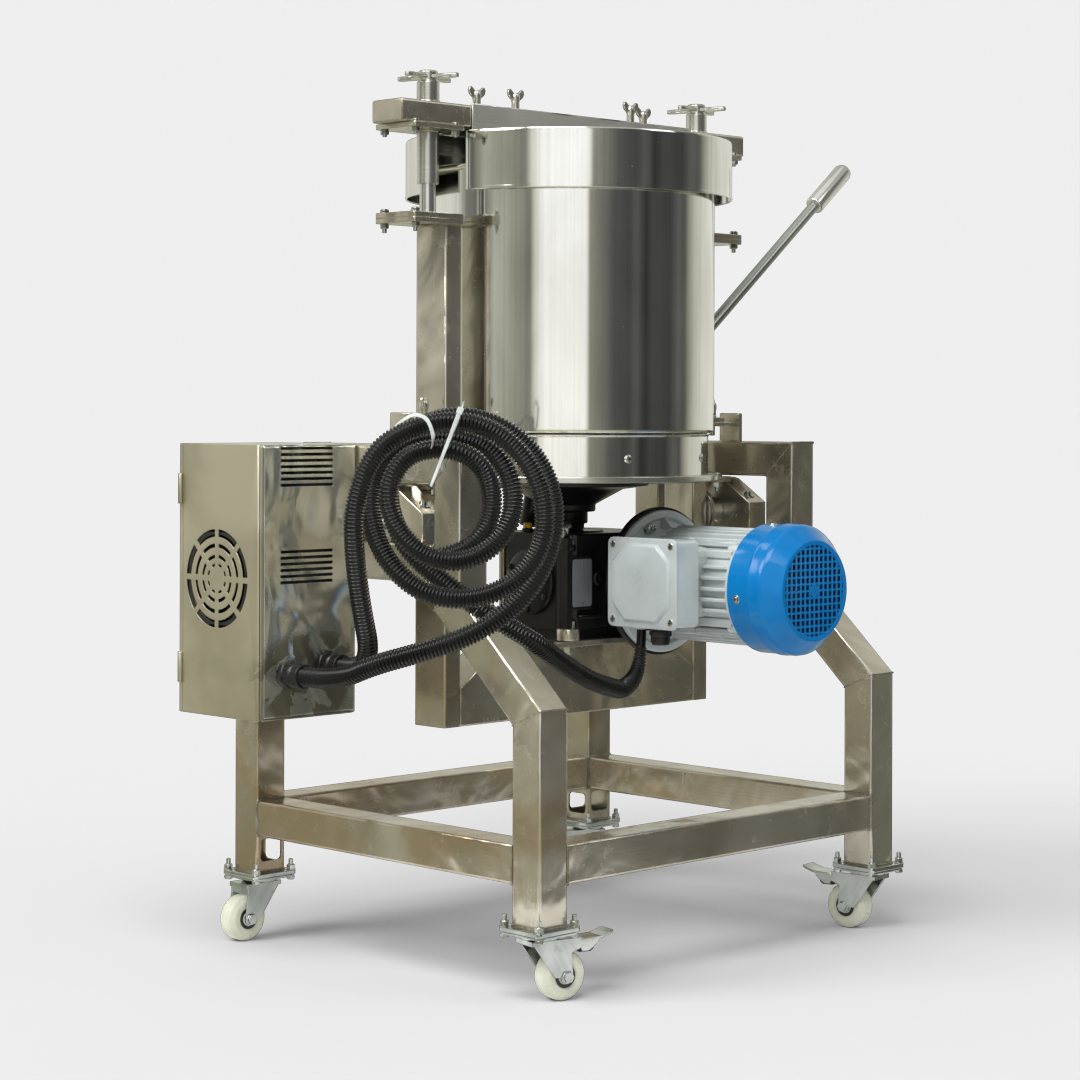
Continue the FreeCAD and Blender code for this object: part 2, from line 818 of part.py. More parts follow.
def roller_carrier():
    """Carrier shaft, hub block and roller axles, and the wall scraper on its arm."""
    half = hub_block / 2
    hub = block(-half, half, -half, half, roller_z - half, roller_z + half)
    shaft = rod((0, 0, roller_z), Z, carrier_shaft_d / 2, crossbar_bottom - roller_z)
    end = roller_inner_x + roller_w + 2
    axle = rod((-end, 0, roller_z), X, roller_axle_d / 2, 2 * end)
    parts = [hub, shaft, axle]
    for s in SIDES:
        parts.append(rod((s * end, 0, roller_z), X * s, roller_axle_d / 2 + 6, 6))
    blade_x = drum_r - drum_wall - scraper_gap - scraper_t
    blade = block(blade_x, blade_x + scraper_t, -scraper_w / 2, scraper_w / 2, stone_top + 6, drum_rim - 20)
    arm = block(blade_x - scraper_t, blade_x, -scraper_w / 2 + 4, scraper_w / 2 - 4, drum_rim - 90, crossbar_bottom)
    return [joined(parts), joined([blade, arm])]


# Under the drum
def bearing_housing():
    """Black cast housing: flange under the drum plate, cone, stepped neck and bearing seat."""
    bore = spindle_r + running
    bottom = gear_top + 2
    nut_low = bottom + housing_nut_gap
    neck_low = nut_low + housing_nut_h
    cone_low = neck_low + housing_neck_h
    cone_top = plate_z - housing_flange_t - housing_cone_gap
    profile = [(bore, bottom), (housing_tube_r, bottom), (housing_tube_r, nut_low), (housing_nut_r, nut_low),
               (housing_nut_r, neck_low), (housing_neck_r, neck_low), (housing_neck_r, cone_low),
               (housing_cone_r, cone_top), (housing_flange_r, plate_z - housing_flange_t),
               (housing_flange_r, plate_z),
               (housing_body_r, plate_z), (housing_body_r, housing_top), (bore, housing_top)]
    body = turned(profile)
    cup = rod((4, 84, 575), Vec(0.1, -0.15, 1), 13, 58)
    return [body, cup.cut(body)]


def drum_plate():
    """Round plate with the lower ring, and the cross plate that ties it to the columns."""
    seat = housing_body_r
    disc = pipe((0, 0, plate_z), Z, plate_r, seat + face_gap, plate_t)
    ring = pipe((0, 0, plate_z + plate_t), Z, ring_r, ring_r - ring_t, ring_top - plate_z - plate_t)
    half = cross_plate_y / 2
    solids = [disc, ring]
    for s in SIDES:
        plate = block(s * (housing_flange_r + 2), s * cross_plate_half, -half, half, plate_z - plate_t, plate_z)
        notch = block(s * yoke_inner, s * yoke_half, -column_half, column_half, plate_z - 2 * plate_t, plate_z + 1)
        plate = plate.cut(notch)
        for sy in SIDES:
            at = (s * (yoke_half + 18), sy * (half - 12), plate_z - plate_t - 10)
            shank = rod(at, Z, 4, plate_t + 14)
            plate = plate.cut(shank)
            solids.append(joined([shank, hexagon(at, Z, 13, 10), hexagon((at[0], at[1], plate_z), Z, 13, 5)]))
        solids.append(plate)
    return solids


# Gearbox
tie_bolts = ((gear_x0 + 2.5, gear_y0), (gear_x0 + 2.5, tie_bolt_y1), (gear_x1 + tie_bolt_d / 2 + 1, gear_y0 + 12),
             (gear_x1 + tie_bolt_d / 2 + 1, tie_bolt_y1))


def tie_lug(x, y):
    """An ear of the gearbox round a tie bolt."""
    middle = (gear_x0 + gear_x1) / 2
    arm = block(0, 26, -8, 8, 0, lug_t)
    turn = math.degrees(math.atan2(-y, middle - x))
    return joined([rod((x, y, lug_z), Z, 11, lug_t), moved(arm, (x, y, lug_z), turn)])


def gearbox():
    """Worm gearbox housing with its adapter, foot, lugs, cavity and the bores for spindle and worm."""
    body = block(gear_x0, gear_x1, gear_y0, gear_y1, gear_bottom, gear_top)
    upright = [e for e in body.Edges if abs(e.tangentAt(e.FirstParameter).z) > 0.99]
    body = body.makeChamfer(gear_corner, upright)
    foot_low = member_top + base_plate_t
    inset = gear_foot_inset
    foot = block(gear_x0 + inset, gear_x1 - inset, gear_y0 + inset, gear_y1 - inset, foot_low, gear_bottom)
    adapter = rod((centre_distance, gear_y0, worm_axis_z), -Y, adapter_r, adapter_len)
    collar = rod((0, 0, gear_top), Z, 50, 2)
    cavity_low = worm_axis_z - worm_wheel_t / 2 - gear_cavity
    cavity = rod((0, 0, cavity_low), Z, worm_wheel_r + gear_cavity, worm_wheel_t + 2 * gear_cavity)
    worm_channel = rod((centre_distance, gear_y1 - 8, worm_axis_z), -Y, 20, 120)
    motor_bore = rod((centre_distance, -50, worm_axis_z), -Y, motor_shaft_r + running, 20 + adapter_len + 1)
    spindle_bore = rod((0, 0, gear_bottom + 4), Z, spindle_r + running, 200)
    solid = joined([body, foot, adapter, collar] + [tie_lug(x, y) for x, y in tie_bolts])
    for x, y in tie_bolts:
        solid = solid.cut(rod((x, y, foot_low), Z, tie_bolt_d / 2 + face_gap, gear_top))
        solid = solid.cut(rod((x, y, foot_low), Z, bush_d / 2 + face_gap, bush_t + 12))
        solid = solid.cut(rod((x, y, tie_bolt_top - face_gap), Z, 9.2, 30))
    return [solid.cut(cavity).cut(worm_channel).cut(motor_bore).cut(spindle_bore)]


def gearbox_mounting():
    """Base plate, and four tie bolts with rubber bushes and nuts."""
    low = member_top
    high = low + base_plate_t
    plate = block(base_plate_x0, base_plate_x1, -base_plate_y / 2, base_plate_y / 2, low, high)
    solids = []
    r = tie_bolt_d / 2
    for x, y in tie_bolts:
        shank = rod((x, y, low - tie_bolt_end), Z, r, tie_bolt_top - low + tie_bolt_end)
        plate = plate.cut(shank)
        bush = rod((x, y, high + bush_lift), Z, bush_d / 2, bush_t)
        nut = hexagon((x, y, high + bush_lift + bush_t), Z, 17, 11)
        cap = hexagon((x, y, tie_bolt_top), Z, 15, 6)
        nut_below = hexagon((x, y, low - 9), Z, 15, 9)
        solids.append(joined([shank, nut, cap, nut_below]))
        solids.append(bush.cut(shank))
    return [plate] + solids


# Motor
def along_motor(profile):
    """A profile of (radius, distance along -Y) about the motor's axis."""
    return turned(profile, (centre_distance, 0, worm_axis_z), -Y)


flange_at = -gear_y0 + adapter_len
body_at = flange_at + motor_flange_t


def motor_body():
    """Flange and finned stator body, bored for the rotor and the shaft."""
    length = -motor_end
    cavity_r = rotor_r + rotor_cavity
    bore = motor_shaft_r + running
    profile = [(bore, flange_at), (motor_flange_r, flange_at), (motor_flange_r, body_at), (motor_r, body_at),
               (motor_r, length), (bore, length), (bore, length - rotor_inset), (cavity_r, length - rotor_inset),
               (cavity_r, body_at + rotor_inset), (bore, body_at + rotor_inset)]
    return [along_motor(profile)]


def fan_cowl():
    """Fan cowl: a cup over the motor's end, with a bevel and a ring of air holes."""
    start = -motor_end
    bevel = -cowl_bevel_start
    end = -cowl_end
    inner = cowl_r - cowl_wall
    profile = [(motor_r + face_gap, start - 2), (cowl_r, start - 2), (cowl_r, bevel), (cowl_end_r, end), (0, end),
               (0, end - cowl_wall), (cowl_end_r - cowl_wall, end - cowl_wall), (inner, bevel - cowl_wall),
               (inner, start), (motor_r + face_gap, start)]
    cowl = along_motor(profile)
    for k in range(12):
        angle = math.radians(30 * k)
        for ring in (28, 46):
            at = (centre_distance + ring * math.cos(angle), cowl_end - 1, worm_axis_z + ring * math.sin(angle))
            cowl = cowl.cut(rod(at, Y, 5, cowl_wall + 3))
    return [cowl]


def motor_rotor():
    """Shaft with the worm at one end, the rotor core and the cooling fan."""
    worm_r = centre_distance - worm_wheel_r - face_gap
    length = -motor_end
    core_0 = body_at + rotor_inset + rotor_cavity
    core_1 = length - rotor_inset - rotor_cavity
    fan_0 = length + 14
    profile = [(0, -38), (worm_r, -38), (worm_r, 38), (motor_shaft_r, 38), (motor_shaft_r, core_0),
               (rotor_r, core_0), (rotor_r, core_1), (motor_shaft_r, core_1), (motor_shaft_r, fan_0),
               (motor_fan_r, fan_0), (motor_fan_r, fan_0 + 3), (24, fan_0 + 3), (24, fan_0 + fan_t),
               (0, fan_0 + fan_t)]
    hub = along_motor(profile)
    blades = []
    for k in range(8):
        angle = math.radians(45 * k)
        blade = block(20, motor_fan_r - 2, -1.5, 1.5, fan_0 + 2, fan_0 + fan_t)
        turn = FreeCAD.Placement(Vec(0, 0, 0), FreeCAD.Rotation(Z, math.degrees(angle)))
        blade.Placement = FreeCAD.Placement(Vec(centre_distance, 0, worm_axis_z),
                                            FreeCAD.Rotation(Z, -Y)).multiply(turn)
        blades.append(blade)
    return [joined([hub] + blades)]


def terminal_box():
    """Box, neck and lid on the motor's side, with two ports below."""
    lid = block(box_lid_x, box_lid_x + box_lid_t, box_y0, box_y1, box_z0, box_z1)
    inset = 2.5
    body = block(box_lid_x + box_lid_t, box_inner_x, box_y0 + inset, box_y1 - inset, box_z0 + inset, box_z1 - inset)
    room = block(box_lid_x + box_lid_t, box_inner_x - 3, box_y0 + 6, box_y1 - 6, box_z0 + 6, box_z1 - 6)
    neck = block(box_inner_x, box_inner_x + 30, box_y0 + neck_inset, box_y1 - neck_inset,
                 box_z0 + neck_inset, box_z1 - neck_inset)
    core = rod((centre_distance, 0, worm_axis_z), -Y, motor_r, -motor_end)
    body = joined([body, neck]).cut(room).cut(core)
    ports = []
    low = box_z0 + inset
    sleeve_port = rod((port_x, port_y[0], low), -Z, sleeve_d / 2 + 3, 6)
    gland = joined([hexagon((port_x, port_y[1], low), -Z, 24, 8), rod((port_x, port_y[1], low - 8), -Z, 12, 12)])
    ports += [sleeve_port, gland]
    return [lid, body] + ports


def tilt_lever():
    """Boss on the right column, rod and grip."""
    angle = math.radians(lever_angle)
    along = Vec(math.cos(angle), 0, math.sin(angle))
    start = Vec(yoke_half, 0, lever_z)
    boss = rod((yoke_half, 0, lever_z), X, lever_boss_d / 2, lever_boss_t)
    bar = Part.makeCylinder(lever_d / 2, lever_len + 5, start + along * 5, along)
    grip_start = start + along * lever_len
    grip = Part.makeCylinder(grip_d / 2, grip_len, grip_start, along)
    stem = joined([boss, bar]).cut(block(0, yoke_half, -50, 50, lever_z - 50, lever_z + 50))
    return [stem.cut(grip), grip]


# Control box
cbox_x1 = -half_width
cbox_x0 = cbox_x1 - cbox_w
door_y = cbox_y[1] + 0.5
hinge_at = (cbox_x0 - hinge_out, door_y + hinge_r)
supply_at = (cbox_x0 + 62, cbox_y[0] + 70)


def grille_cut(x):
    """The round fan grille: rings of slots parted by eight spokes."""
    cuts = []
    for r, width in grille_rings:
        ring = pipe((x - 5, grille_y, grille_z), X, r, r - width, 10)
        for k in range(4):
            bar = block(x - 6, x + 6, -r - 2, r + 2, -grille_spoke / 2, grille_spoke / 2)
            bar.Placement = FreeCAD.Placement(Vec(0, grille_y, grille_z), FreeCAD.Rotation(X, 45 * k))
            ring = ring.cut(bar)
        cuts.append(ring)
    return cuts


def louvre_cuts():
    """Rows of slots through the back wall."""
    y = cbox_y[0]
    cuts = []
    for start, count in ((upper_louvre_z, upper_louvre_rows), (lower_louvre_z, lower_louvre_rows)):
        for k in range(int(count)):
            z = start + k * louvre_pitch
            cuts.append(block(louvre_x - louvre_w / 2, louvre_x + louvre_w / 2, y - 3, y + 3, z, z + louvre_h))
    return cuts


def control_shell():
    """Sheet box open to the operator side, with louvres, grille and gland holes."""
    whole = block(cbox_x0, cbox_x1, cbox_y[0], cbox_y[1], cbox_z[0], cbox_z[1])
    upright = [e for e in whole.Edges if abs(e.CenterOfMass.y - cbox_y[0]) < 0.1]
    whole = whole.makeFillet(cbox_corner, upright)
    w = cbox_wall
    core = block(cbox_x0 + w, cbox_x1 - w, cbox_y[0] + w, cbox_y[1] + 1, cbox_z[0] + w, cbox_z[1] - w)
    shell = whole.cut(core)
    for cut in grille_cut(cbox_x0) + louvre_cuts():
        shell = shell.cut(cut)
    for x, z in zip(gland_x, gland_z):
        shell = shell.cut(rod((x, cbox_y[0] - 2, z), Y, 9, 6))
    return [shell.cut(rod((supply_at[0], supply_at[1], cbox_z[0] - 2), Z, supply_hole_d / 2, 6))]


def fan_mount():
    """The cooling fan's square frame behind the grille, with its strut, motor and shaft."""
    w = cbox_wall
    half = fan_frame / 2
    frame = block(cbox_x0 + w, cbox_x0 + w + fan_frame_t, grille_y - half, grille_y + half,
                  grille_z - half, grille_z + half)
    frame = frame.cut(rod((cbox_x0 - 1, grille_y, grille_z), X, fan_r + 2, fan_frame_t + 6))
    strut = block(cbox_x0 + w + fan_frame_t - 3, cbox_x0 + w + fan_frame_t, grille_y - half, grille_y + half,
                  grille_z - 6, grille_z + 6)
    motor = rod((cbox_x0 + w + fan_frame_t, grille_y, grille_z), -X, fan_hub_r - 6, 10)
    shaft = rod((cbox_x0 + w + fan_frame_t, grille_y, grille_z), -X, 3, fan_frame_t - 4)
    return [joined([frame, strut, motor, shaft])]


def cooling_fan():
    """Fan rotor of the control box, along X."""
    x = cbox_x0 + cbox_wall
    hub = rod((x + 2, grille_y, grille_z), X, fan_hub_r, fan_frame_t - 13.5)
    hub = hub.cut(rod((x, grille_y, grille_z), X, 3 + running, 40))
    parts = [hub]
    for k in range(fan_blades):
        blade = block(x + 3, x + 11, -2, 2, fan_hub_r - 2, fan_r)
        blade.Placement = FreeCAD.Placement(Vec(0, grille_y, grille_z), FreeCAD.Rotation(X, 360 * k / fan_blades))
        parts.append(blade)
    return [joined(parts)]


def inverter():
    """Frequency inverter on the box's inner wall."""
    x1 = cbox_x1 - cbox_wall
    y0 = cbox_y[0] + inverter_back
    low = cbox_z[0] + filter_lift
    high = low + filter_h + inverter_back
    return [block(x1 - inverter_deep, x1, y0, y0 + inverter_w, high, high + inverter_h),
            block(x1 - filter_deep, x1, y0, y0 + inverter_w, low, low + filter_h)]


def box_door():
    """Door pan with its hinge knuckles."""
    w = cbox_wall
    pan = block(cbox_x0, cbox_x1 - 0.5, door_y, door_y + door_t, cbox_z[0], cbox_z[1])
    core = block(cbox_x0 + w, cbox_x1 - 0.5 - w, door_y - 1, door_y + door_t - w, cbox_z[0] + w, cbox_z[1] - w)
    knuckles = []
    for z in (cbox_z[0] + 40, cbox_z[1] - 80):
        knuckles.append(rod((hinge_at[0], hinge_at[1], z), Z, hinge_r, 40))
    pan = joined([pan.cut(core)] + knuckles)
    for z in (switch_z, stop_z, speed_z):
        pan = pan.cut(rod((control_x, door_y - 1, z), Y, 6, door_t + 2))
    collar = pipe((control_x, door_y + door_t, stop_z), Y, 24, 16, 4)
    plate = block(control_x - 24, control_x + 24, door_y + door_t, door_y + door_t + 3, switch_z - 24, switch_z + 24)
    plate = plate.cut(rod((control_x, door_y, switch_z), Y, 6, 20))
    return [pan, collar, plate]


def control(z, radius, depth, seat):
    """A round control on the door: cap and stem."""
    y = door_y + door_t + seat
    stem = rod((control_x, door_y - 4, z), Y, 6 - running, seat + door_t + 5)
    return joined([rod((control_x, y + face_gap, z), Y, radius, depth), stem])


def main_switch():
    """Rotary switch knob with its bar."""
    y = door_y + door_t + 3 + face_gap
    bar = block(control_x - 5, control_x + 5, y + 8, y + 22, switch_z - 17, switch_z + 17)
    return [joined([control(switch_z, 18, 12, 3), bar])]


def emergency_stop():
    """Mushroom button with room to travel."""
    return [control(stop_z, 20, 14, 10)]


def speed_knob():
    """Speed knob with a pointer rib."""
    y = door_y + door_t + face_gap
    rib = block(control_x - 1.5, control_x + 1.5, y + 4, y + 18, speed_z, speed_z + 13)
    return [joined([control(speed_z, 14, 16, 0), rib])]


def conduit_glands():
    """Glands on the box's back."""
    solids = []
    for x, z in zip(gland_x, gland_z):
        y = cbox_y[0]
        nut = hexagon((x, y, z), -Y, 34, 10)
        body = rod((x, y - 10, z), -Y, gland_r, gland_len - 10)
        tail = rod((x, y + 6, z), -Y, 9 - running, 7)
        solids.append(joined([nut, body, tail]))
    return solids


# Conduit
across = Vec(1, -1, 0)
across.normalize()
inward = Vec(1, 1, 0)
inward.normalize()
coil_centre = across * coil_across + inward * coil_depth + Z * coil_z


def bent_route(points, radius_floor):
    """Straight runs joined by tangent arcs, each as large as its two runs allow."""
    pts = [Vec(*p) for p in points]
    edges = []
    start = pts[0]
    for k in range(1, len(pts) - 1):
        into = pts[k] - pts[k - 1]
        out = pts[k + 1] - pts[k]
        run = min(into.Length, out.Length)
        turn = into.getAngle(out)
        into.normalize()
        out.normalize()
        trim = 0.45 * run
        radius = trim / math.tan(turn / 2)
        print("bend radius", round(radius, 1), "floor", radius_floor)
        first = pts[k] - into * trim
        last = pts[k] + out * trim
        bisector = out - into
        bisector.normalize()
        middle = pts[k] + bisector * (radius / math.cos(turn / 2) - radius)
        edges.append(Part.LineSegment(start, first).toShape())
        edges.append(Part.Arc(first, middle, last).toShape())
        start = last
    edges.append(Part.LineSegment(start, pts[-1]).toShape())
    return Part.Wire(edges)


def hose(points, diameter):
    """A round hose along a route."""
    route = bent_route(points, 3 * diameter)
    first = Vec(*points[0])
    direction = Vec(*points[1]) - first
    ring = Part.Wire([Part.Circle(first, direction, diameter / 2).toShape()])
    solid = route.makePipeShell([ring], True, True, 2)
    return solid


def coil_solid():
    """The hanging coil's outer shape: a flat ring facing the near corner."""
    low = coil_centre - inward * (coil_t / 2)
    outer = Part.makeCylinder(coil_r, coil_t, low, inward)
    hole = Part.makeCylinder(coil_hole, coil_t, low, inward)
    return outer.cut(hole)


def cable_ties():
    """Two ties round the coil's strands, and the saddle that holds them to the near post."""
    solids = []
    mid_r = (coil_r + coil_hole) / 2
    reach = (coil_r - coil_hole) / 2 + face_gap
    deep = coil_t / 2 + face_gap
    for angle in tie_angles:
        loop = block(-reach - tie_t, reach + tie_t, -tie_w / 2, tie_w / 2, -deep - tie_t, deep + tie_t)
        loop = loop.cut(block(-reach, reach, -tie_w, tie_w, -deep, deep))
        radial = across * math.cos(math.radians(angle)) + Z * math.sin(math.radians(angle))
        base = FreeCAD.Rotation(radial, inward.cross(radial), inward, "ZXY")
        loop.Placement = FreeCAD.Placement(coil_centre + radial * mid_r, base)
        solids.append(loop)
    return solids


def tie_saddle():
    """A block between the post's near edge and the tie over it."""
    edge = Vec(-half_width, -post_half, 0)
    edge_depth = edge.dot(inward)
    back = coil_depth + coil_t / 2 + face_gap + tie_t
    place = FreeCAD.Placement(across * edge.dot(across) + inward * back, FreeCAD.Rotation(Z, 45))
    saddle_block = block(0, edge_depth - back, -saddle / 2, saddle / 2, coil_z + 70, coil_z + 120)
    saddle_block.Placement = place
    post = block(-half_width, -half_width + tube, -post_half, -post_half + tube, 0, frame_top)
    return saddle_block.cut(post)


def write_frame():
    """Everything that stands still."""
    save("left_side_frame", side_frame(-1))
    save("right_side_frame", side_frame(1))
    save("base_rails", base_rails())
    save("bearing_blocks", [bearing_block(s) for s in SIDES])
    write_castors()


def write_yoke():
    """What tilts with the drum."""
    save("yoke_frame", yoke_frame())
    save("trunnions", [trunnion(s) for s in SIDES])
    save("column_heads", column_heads())
    save("bearing_housing", bearing_housing())
    save("drum_plate", drum_plate())
    save("gearbox", gearbox())
    save("gearbox_mounting", gearbox_mounting())
    save("motor_body", motor_body())
    save("fan_cowl", fan_cowl())
    save("motor_rotor", motor_rotor())
    save("terminal_box", terminal_box())
    save("tilt_lever", tilt_lever())


def write_drum():
    """What turns about the drum's axis, and the rollers."""
    save("drum_shell", [drum_shell()])
    save("base_stone", [base_stone()])
    save("drum_spindle", drum_spindle())
    for name, s in (("left", -1), ("right", 1)):
        save(name + "_roller", [roller(s)])


def write_head():
    """What lifts with the crossbar."""
    save("crossbar", crossbar())
    save("head_sockets", head_sockets())
    save("roller_carrier", roller_carrier())
    for name, s in (("left", -1), ("right", 1)):
        save(name + "_star_handle", [star_handle(s)])
        lock_seat = lug_bottom + lug_plate_t
        save(name + "_lock_screw", [wing_screw(s * lock_x, lock_y, lock_seat, 0, lock_screw_end, lock_screw_d)])
    for k, (x, lift) in enumerate(zip(wing_screw_x, wing_screw_lift)):
        save("wing_screw_%d" % (k + 1), [wing_screw(x, 0, bar_top, lift, crossbar_bottom - 12, wing_screw_d)])
    save("motor_side_lid", [half_lid(-1)])
    save("operator_side_lid", [half_lid(1)])


def write_control_box():
    """The box, its door and what is in and on them."""
    save("control_shell", control_shell())
    save("fan_mount", fan_mount())
    save("cooling_fan", cooling_fan())
    save("inverter", inverter())
    save("box_door", box_door())
    save("main_switch", main_switch())
    save("emergency_stop", emergency_stop())
    save("speed_knob", speed_knob())
    save("conduit_glands", conduit_glands())


def write_conduit():
    """Feeds, coil, the lead to the motor, and the ties."""
    coil = coil_solid()
    save("conduit_coil", [coil])
    save("conduit_feed_a", [hose(feed_a, hose_d).cut(coil)])
    save("conduit_feed_b", [hose(feed_b, hose_d).cut(coil)])
    thick = hose(lead, hose_d).cut(coil)
    save("motor_lead", [thick, hose(sleeve, sleeve_d).cut(thick)])
    save("cable_ties", cable_ties() + [tie_saddle()])


write_frame()
write_yoke()
write_drum()
write_head()
write_control_box()
write_conduit()
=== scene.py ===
"""Chocolate melanger: the dressed model, in metres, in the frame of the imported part."""
import json
import math
import bpy
import bmesh
import numpy as np
from mathutils import Matrix, Vector


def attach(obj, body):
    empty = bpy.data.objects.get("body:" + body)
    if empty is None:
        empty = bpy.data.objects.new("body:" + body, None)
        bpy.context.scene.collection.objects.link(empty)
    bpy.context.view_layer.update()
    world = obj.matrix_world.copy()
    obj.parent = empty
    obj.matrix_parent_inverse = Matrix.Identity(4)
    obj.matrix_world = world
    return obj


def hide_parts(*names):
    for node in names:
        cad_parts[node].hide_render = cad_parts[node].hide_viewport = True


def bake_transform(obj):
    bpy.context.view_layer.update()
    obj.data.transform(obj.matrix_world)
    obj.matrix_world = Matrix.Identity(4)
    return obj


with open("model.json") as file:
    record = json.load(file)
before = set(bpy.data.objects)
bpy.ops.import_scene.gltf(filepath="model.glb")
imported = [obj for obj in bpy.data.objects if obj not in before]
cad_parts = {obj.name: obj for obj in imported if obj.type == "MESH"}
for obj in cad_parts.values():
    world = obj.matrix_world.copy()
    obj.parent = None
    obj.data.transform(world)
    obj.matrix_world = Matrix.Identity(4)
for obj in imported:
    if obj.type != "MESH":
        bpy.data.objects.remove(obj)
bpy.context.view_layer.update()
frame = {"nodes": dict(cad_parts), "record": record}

MM = 0.001
TAU = 2 * math.pi
X, Y, Z = np.eye(3)
SIDES = (-1, 1)
CORNERS = [(-1, -1), (-1, 1), (1, -1), (1, 1)]
LEFT_RIGHT = ((-1, "left"), (1, "right"))

# Recurring measures of the machine, in millimetres
TUBE = 50
LEG_X = 331
LEG_Y = 280
RAIL_Z = 172
BEAM_Z = 542
TRUNNION_Z = 590
COLUMN_X = 249
COLUMN_TOP = 991
ROD_X = 270
SOCKET_Z = 1117


def srgb(*levels):
    """A colour given in 0 to 255 screen levels, as the linear values that shaders use."""
    return tuple(((v / 255 + 0.055) / 1.055) ** 2.4 if v > 10 else v / 3294.6 for v in levels) + (1.0,)


def vec(v):
    """An array of real numbers."""
    return np.asarray(v, float)


def put(name, data):
    """A new object in the scene."""
    made = bpy.data.objects.new(name, data)
    bpy.context.scene.collection.objects.link(made)
    return made


def mesh_of(name, points, faces):
    """A mesh from points in metres, in any number of rows."""
    mesh = bpy.data.meshes.new(name)
    mesh.from_pydata(vec(points).reshape(-1, 3).tolist(), [], faces)
    return mesh


# Shaders
class Signal:
    """A shader socket; arithmetic on it adds Math nodes."""

    def __init__(self, owner, socket):
        self.owner = owner
        self.socket = socket

    def _maths(self, operation, other):
        return self.owner.node("ShaderNodeMath", {"operation": operation}, {0: self, 1: other})

    def __add__(self, other):
        return self._maths("ADD", other)

    def __mul__(self, other):
        return self._maths("MULTIPLY", other)

    def most(self, other):
        return self._maths("MAXIMUM", other)


class Nodes:
    """A node tree whose sockets take plain values and signals alike."""

    def __init__(self, tree):
        self.tree = tree

    def feed(self, socket, value):
        if isinstance(value, Signal):
            self.tree.links.new(value.socket, socket)
        else:
            socket.default_value = value

    def node(self, kind, settings=None, inputs=None, out=0):
        """Any node: its settings first, then the values or links of its sockets; returns one output."""
        made = self.tree.nodes.new(kind)
        for key, value in (settings or {}).items():
            setattr(made, key, value)
        for key, value in (inputs or {}).items():
            self.feed(made.inputs[key], value)
        return Signal(self, made.outputs[out])


class Finish(Nodes):
    """A surface finish: a Principled material and the nodes that feed it."""

    def __init__(self, name, **numbers):
        self.material = bpy.data.materials.new(name)
        self.material.use_nodes = True
        super().__init__(self.material.node_tree)
        self.set(**numbers)

    def set(self, **values):
        """Sets or links the shader's sockets, named with underscores for spaces."""
        for key, value in values.items():
            self.feed(self.tree.nodes["Principled BSDF"].inputs[key.replace("_", " ")], value)

    def where(self):
        """Object coordinates."""
        return self.node("ShaderNodeTexCoord", out=3)

    def coordinate(self, k):
        """One object coordinate, in metres."""
        return self.node("ShaderNodeSeparateXYZ", None, {0: self.where()}, out=k)

    def place(self, scale=(1, 1, 1), turn=(0, 0, 0), shift=(0, 0, 0)):
        """Object coordinates, scaled and turned."""
        return self.node("ShaderNodeMapping", None, {0: self.where(), 1: shift, 2: turn, 3: scale})

    def grain(self, across):
        """The piece's own grain coordinates, slow along the grain and fast across it."""
        where = self.node("ShaderNodeAttribute", {"attribute_name": "lay"}, out=1)
        return self.node("ShaderNodeVectorMath", {"operation": "MULTIPLY"}, {0: where, 1: (3.0, 3.0, across)})

    def noise(self, where, scale, detail, rough, twist=0.0):
        return self.node("ShaderNodeTexNoise", None, {"Vector": where, "Scale": scale, "Detail": detail,
                                                      "Roughness": rough, "Distortion": twist})

    def blend(self, low, high, share):
        """Colour between low and high."""
        return self.node("ShaderNodeMix", {"data_type": "RGBA"}, {0: share, 6: low, 7: high}, out=2)

    def step(self, value, low, high, to_low=0.0, to_high=1.0):
        """The value spread smoothly from one range to another, clamped."""
        return self.node("ShaderNodeMapRange", {"interpolation_type": "SMOOTHSTEP"},
                         {0: value, 1: low, 2: high, 3: to_low, 4: to_high})

    def patches(self, shift, low, high, scale, detail, rough, twist=0.0):
        """Patches where a shifted noise is high."""
        return self.step(self.noise(self.place(shift=shift), scale, detail, rough, twist), low, high)

    def bump(self, height, strength, distance):
        """Sets the surface's fine relief."""
        self.set(Normal=self.node("ShaderNodeBump", None,
                                  {"Height": height, "Strength": strength, "Distance": distance}))


def steel(name, dark, pale, rough=(0.34, 0.48), grain=900.0, attribute=True, cloud=5.0, streaks=0.25, pits=0.0,
          metal=0.88, wavy=0.0):
    """Brushed or rolled steel: fine streaks along the grain, soft clouds of tone, smudges and pits.

    Where it is wavy, the sheet is slightly uneven and has brownish patches, strongest low down and faint towards the
    top.
    """
    f = Finish(name, Metallic=metal)
    streak = f.noise(f.grain(grain) if attribute else f.place((3.0, 3.0, grain)), 1.0, 3.0, 0.6)
    clouds = f.noise(f.place(), cloud, 3.0, 0.5, 0.4)
    smudge = f.patches((4, 1, 2), 0.55, 0.75, 27.0, 5.0, 0.6, 1.2)
    colour = f.blend(dark, pale, f.step(clouds * (1 - streaks) + streak * streaks, 0.34, 0.66))
    if pits:
        pit = f.patches((1, 7, 3), 0.7, 0.78, 150.0, 4.0, 0.7)
        colour = f.blend(colour, srgb(92, 80, 60), pit * pits)
    if wavy:
        # Brownish patches, weighted 0.75 low down and 0.2 towards the top
        bronze = f.patches((6, 2, 9), 0.48, 0.66, 3.4, 4.0, 0.6, 0.8)
        colour = f.blend(colour, srgb(172, 151, 120), bronze * f.step(f.coordinate(2), 0.3, 0.75, 0.75, 0.2))
    f.set(Base_Color=colour, Roughness=f.step(streak * 0.4 + smudge * 0.6, 0.1, 0.8, *rough))
    if wavy:
        buckle = f.noise(f.place(shift=(2, 5, 3)), 6.0, 2.5, 0.5, 0.5)
        f.bump(buckle + streak * 0.002, 1.0, wavy)
    else:
        f.bump(streak, 0.1, 0.0001)
    return f.material


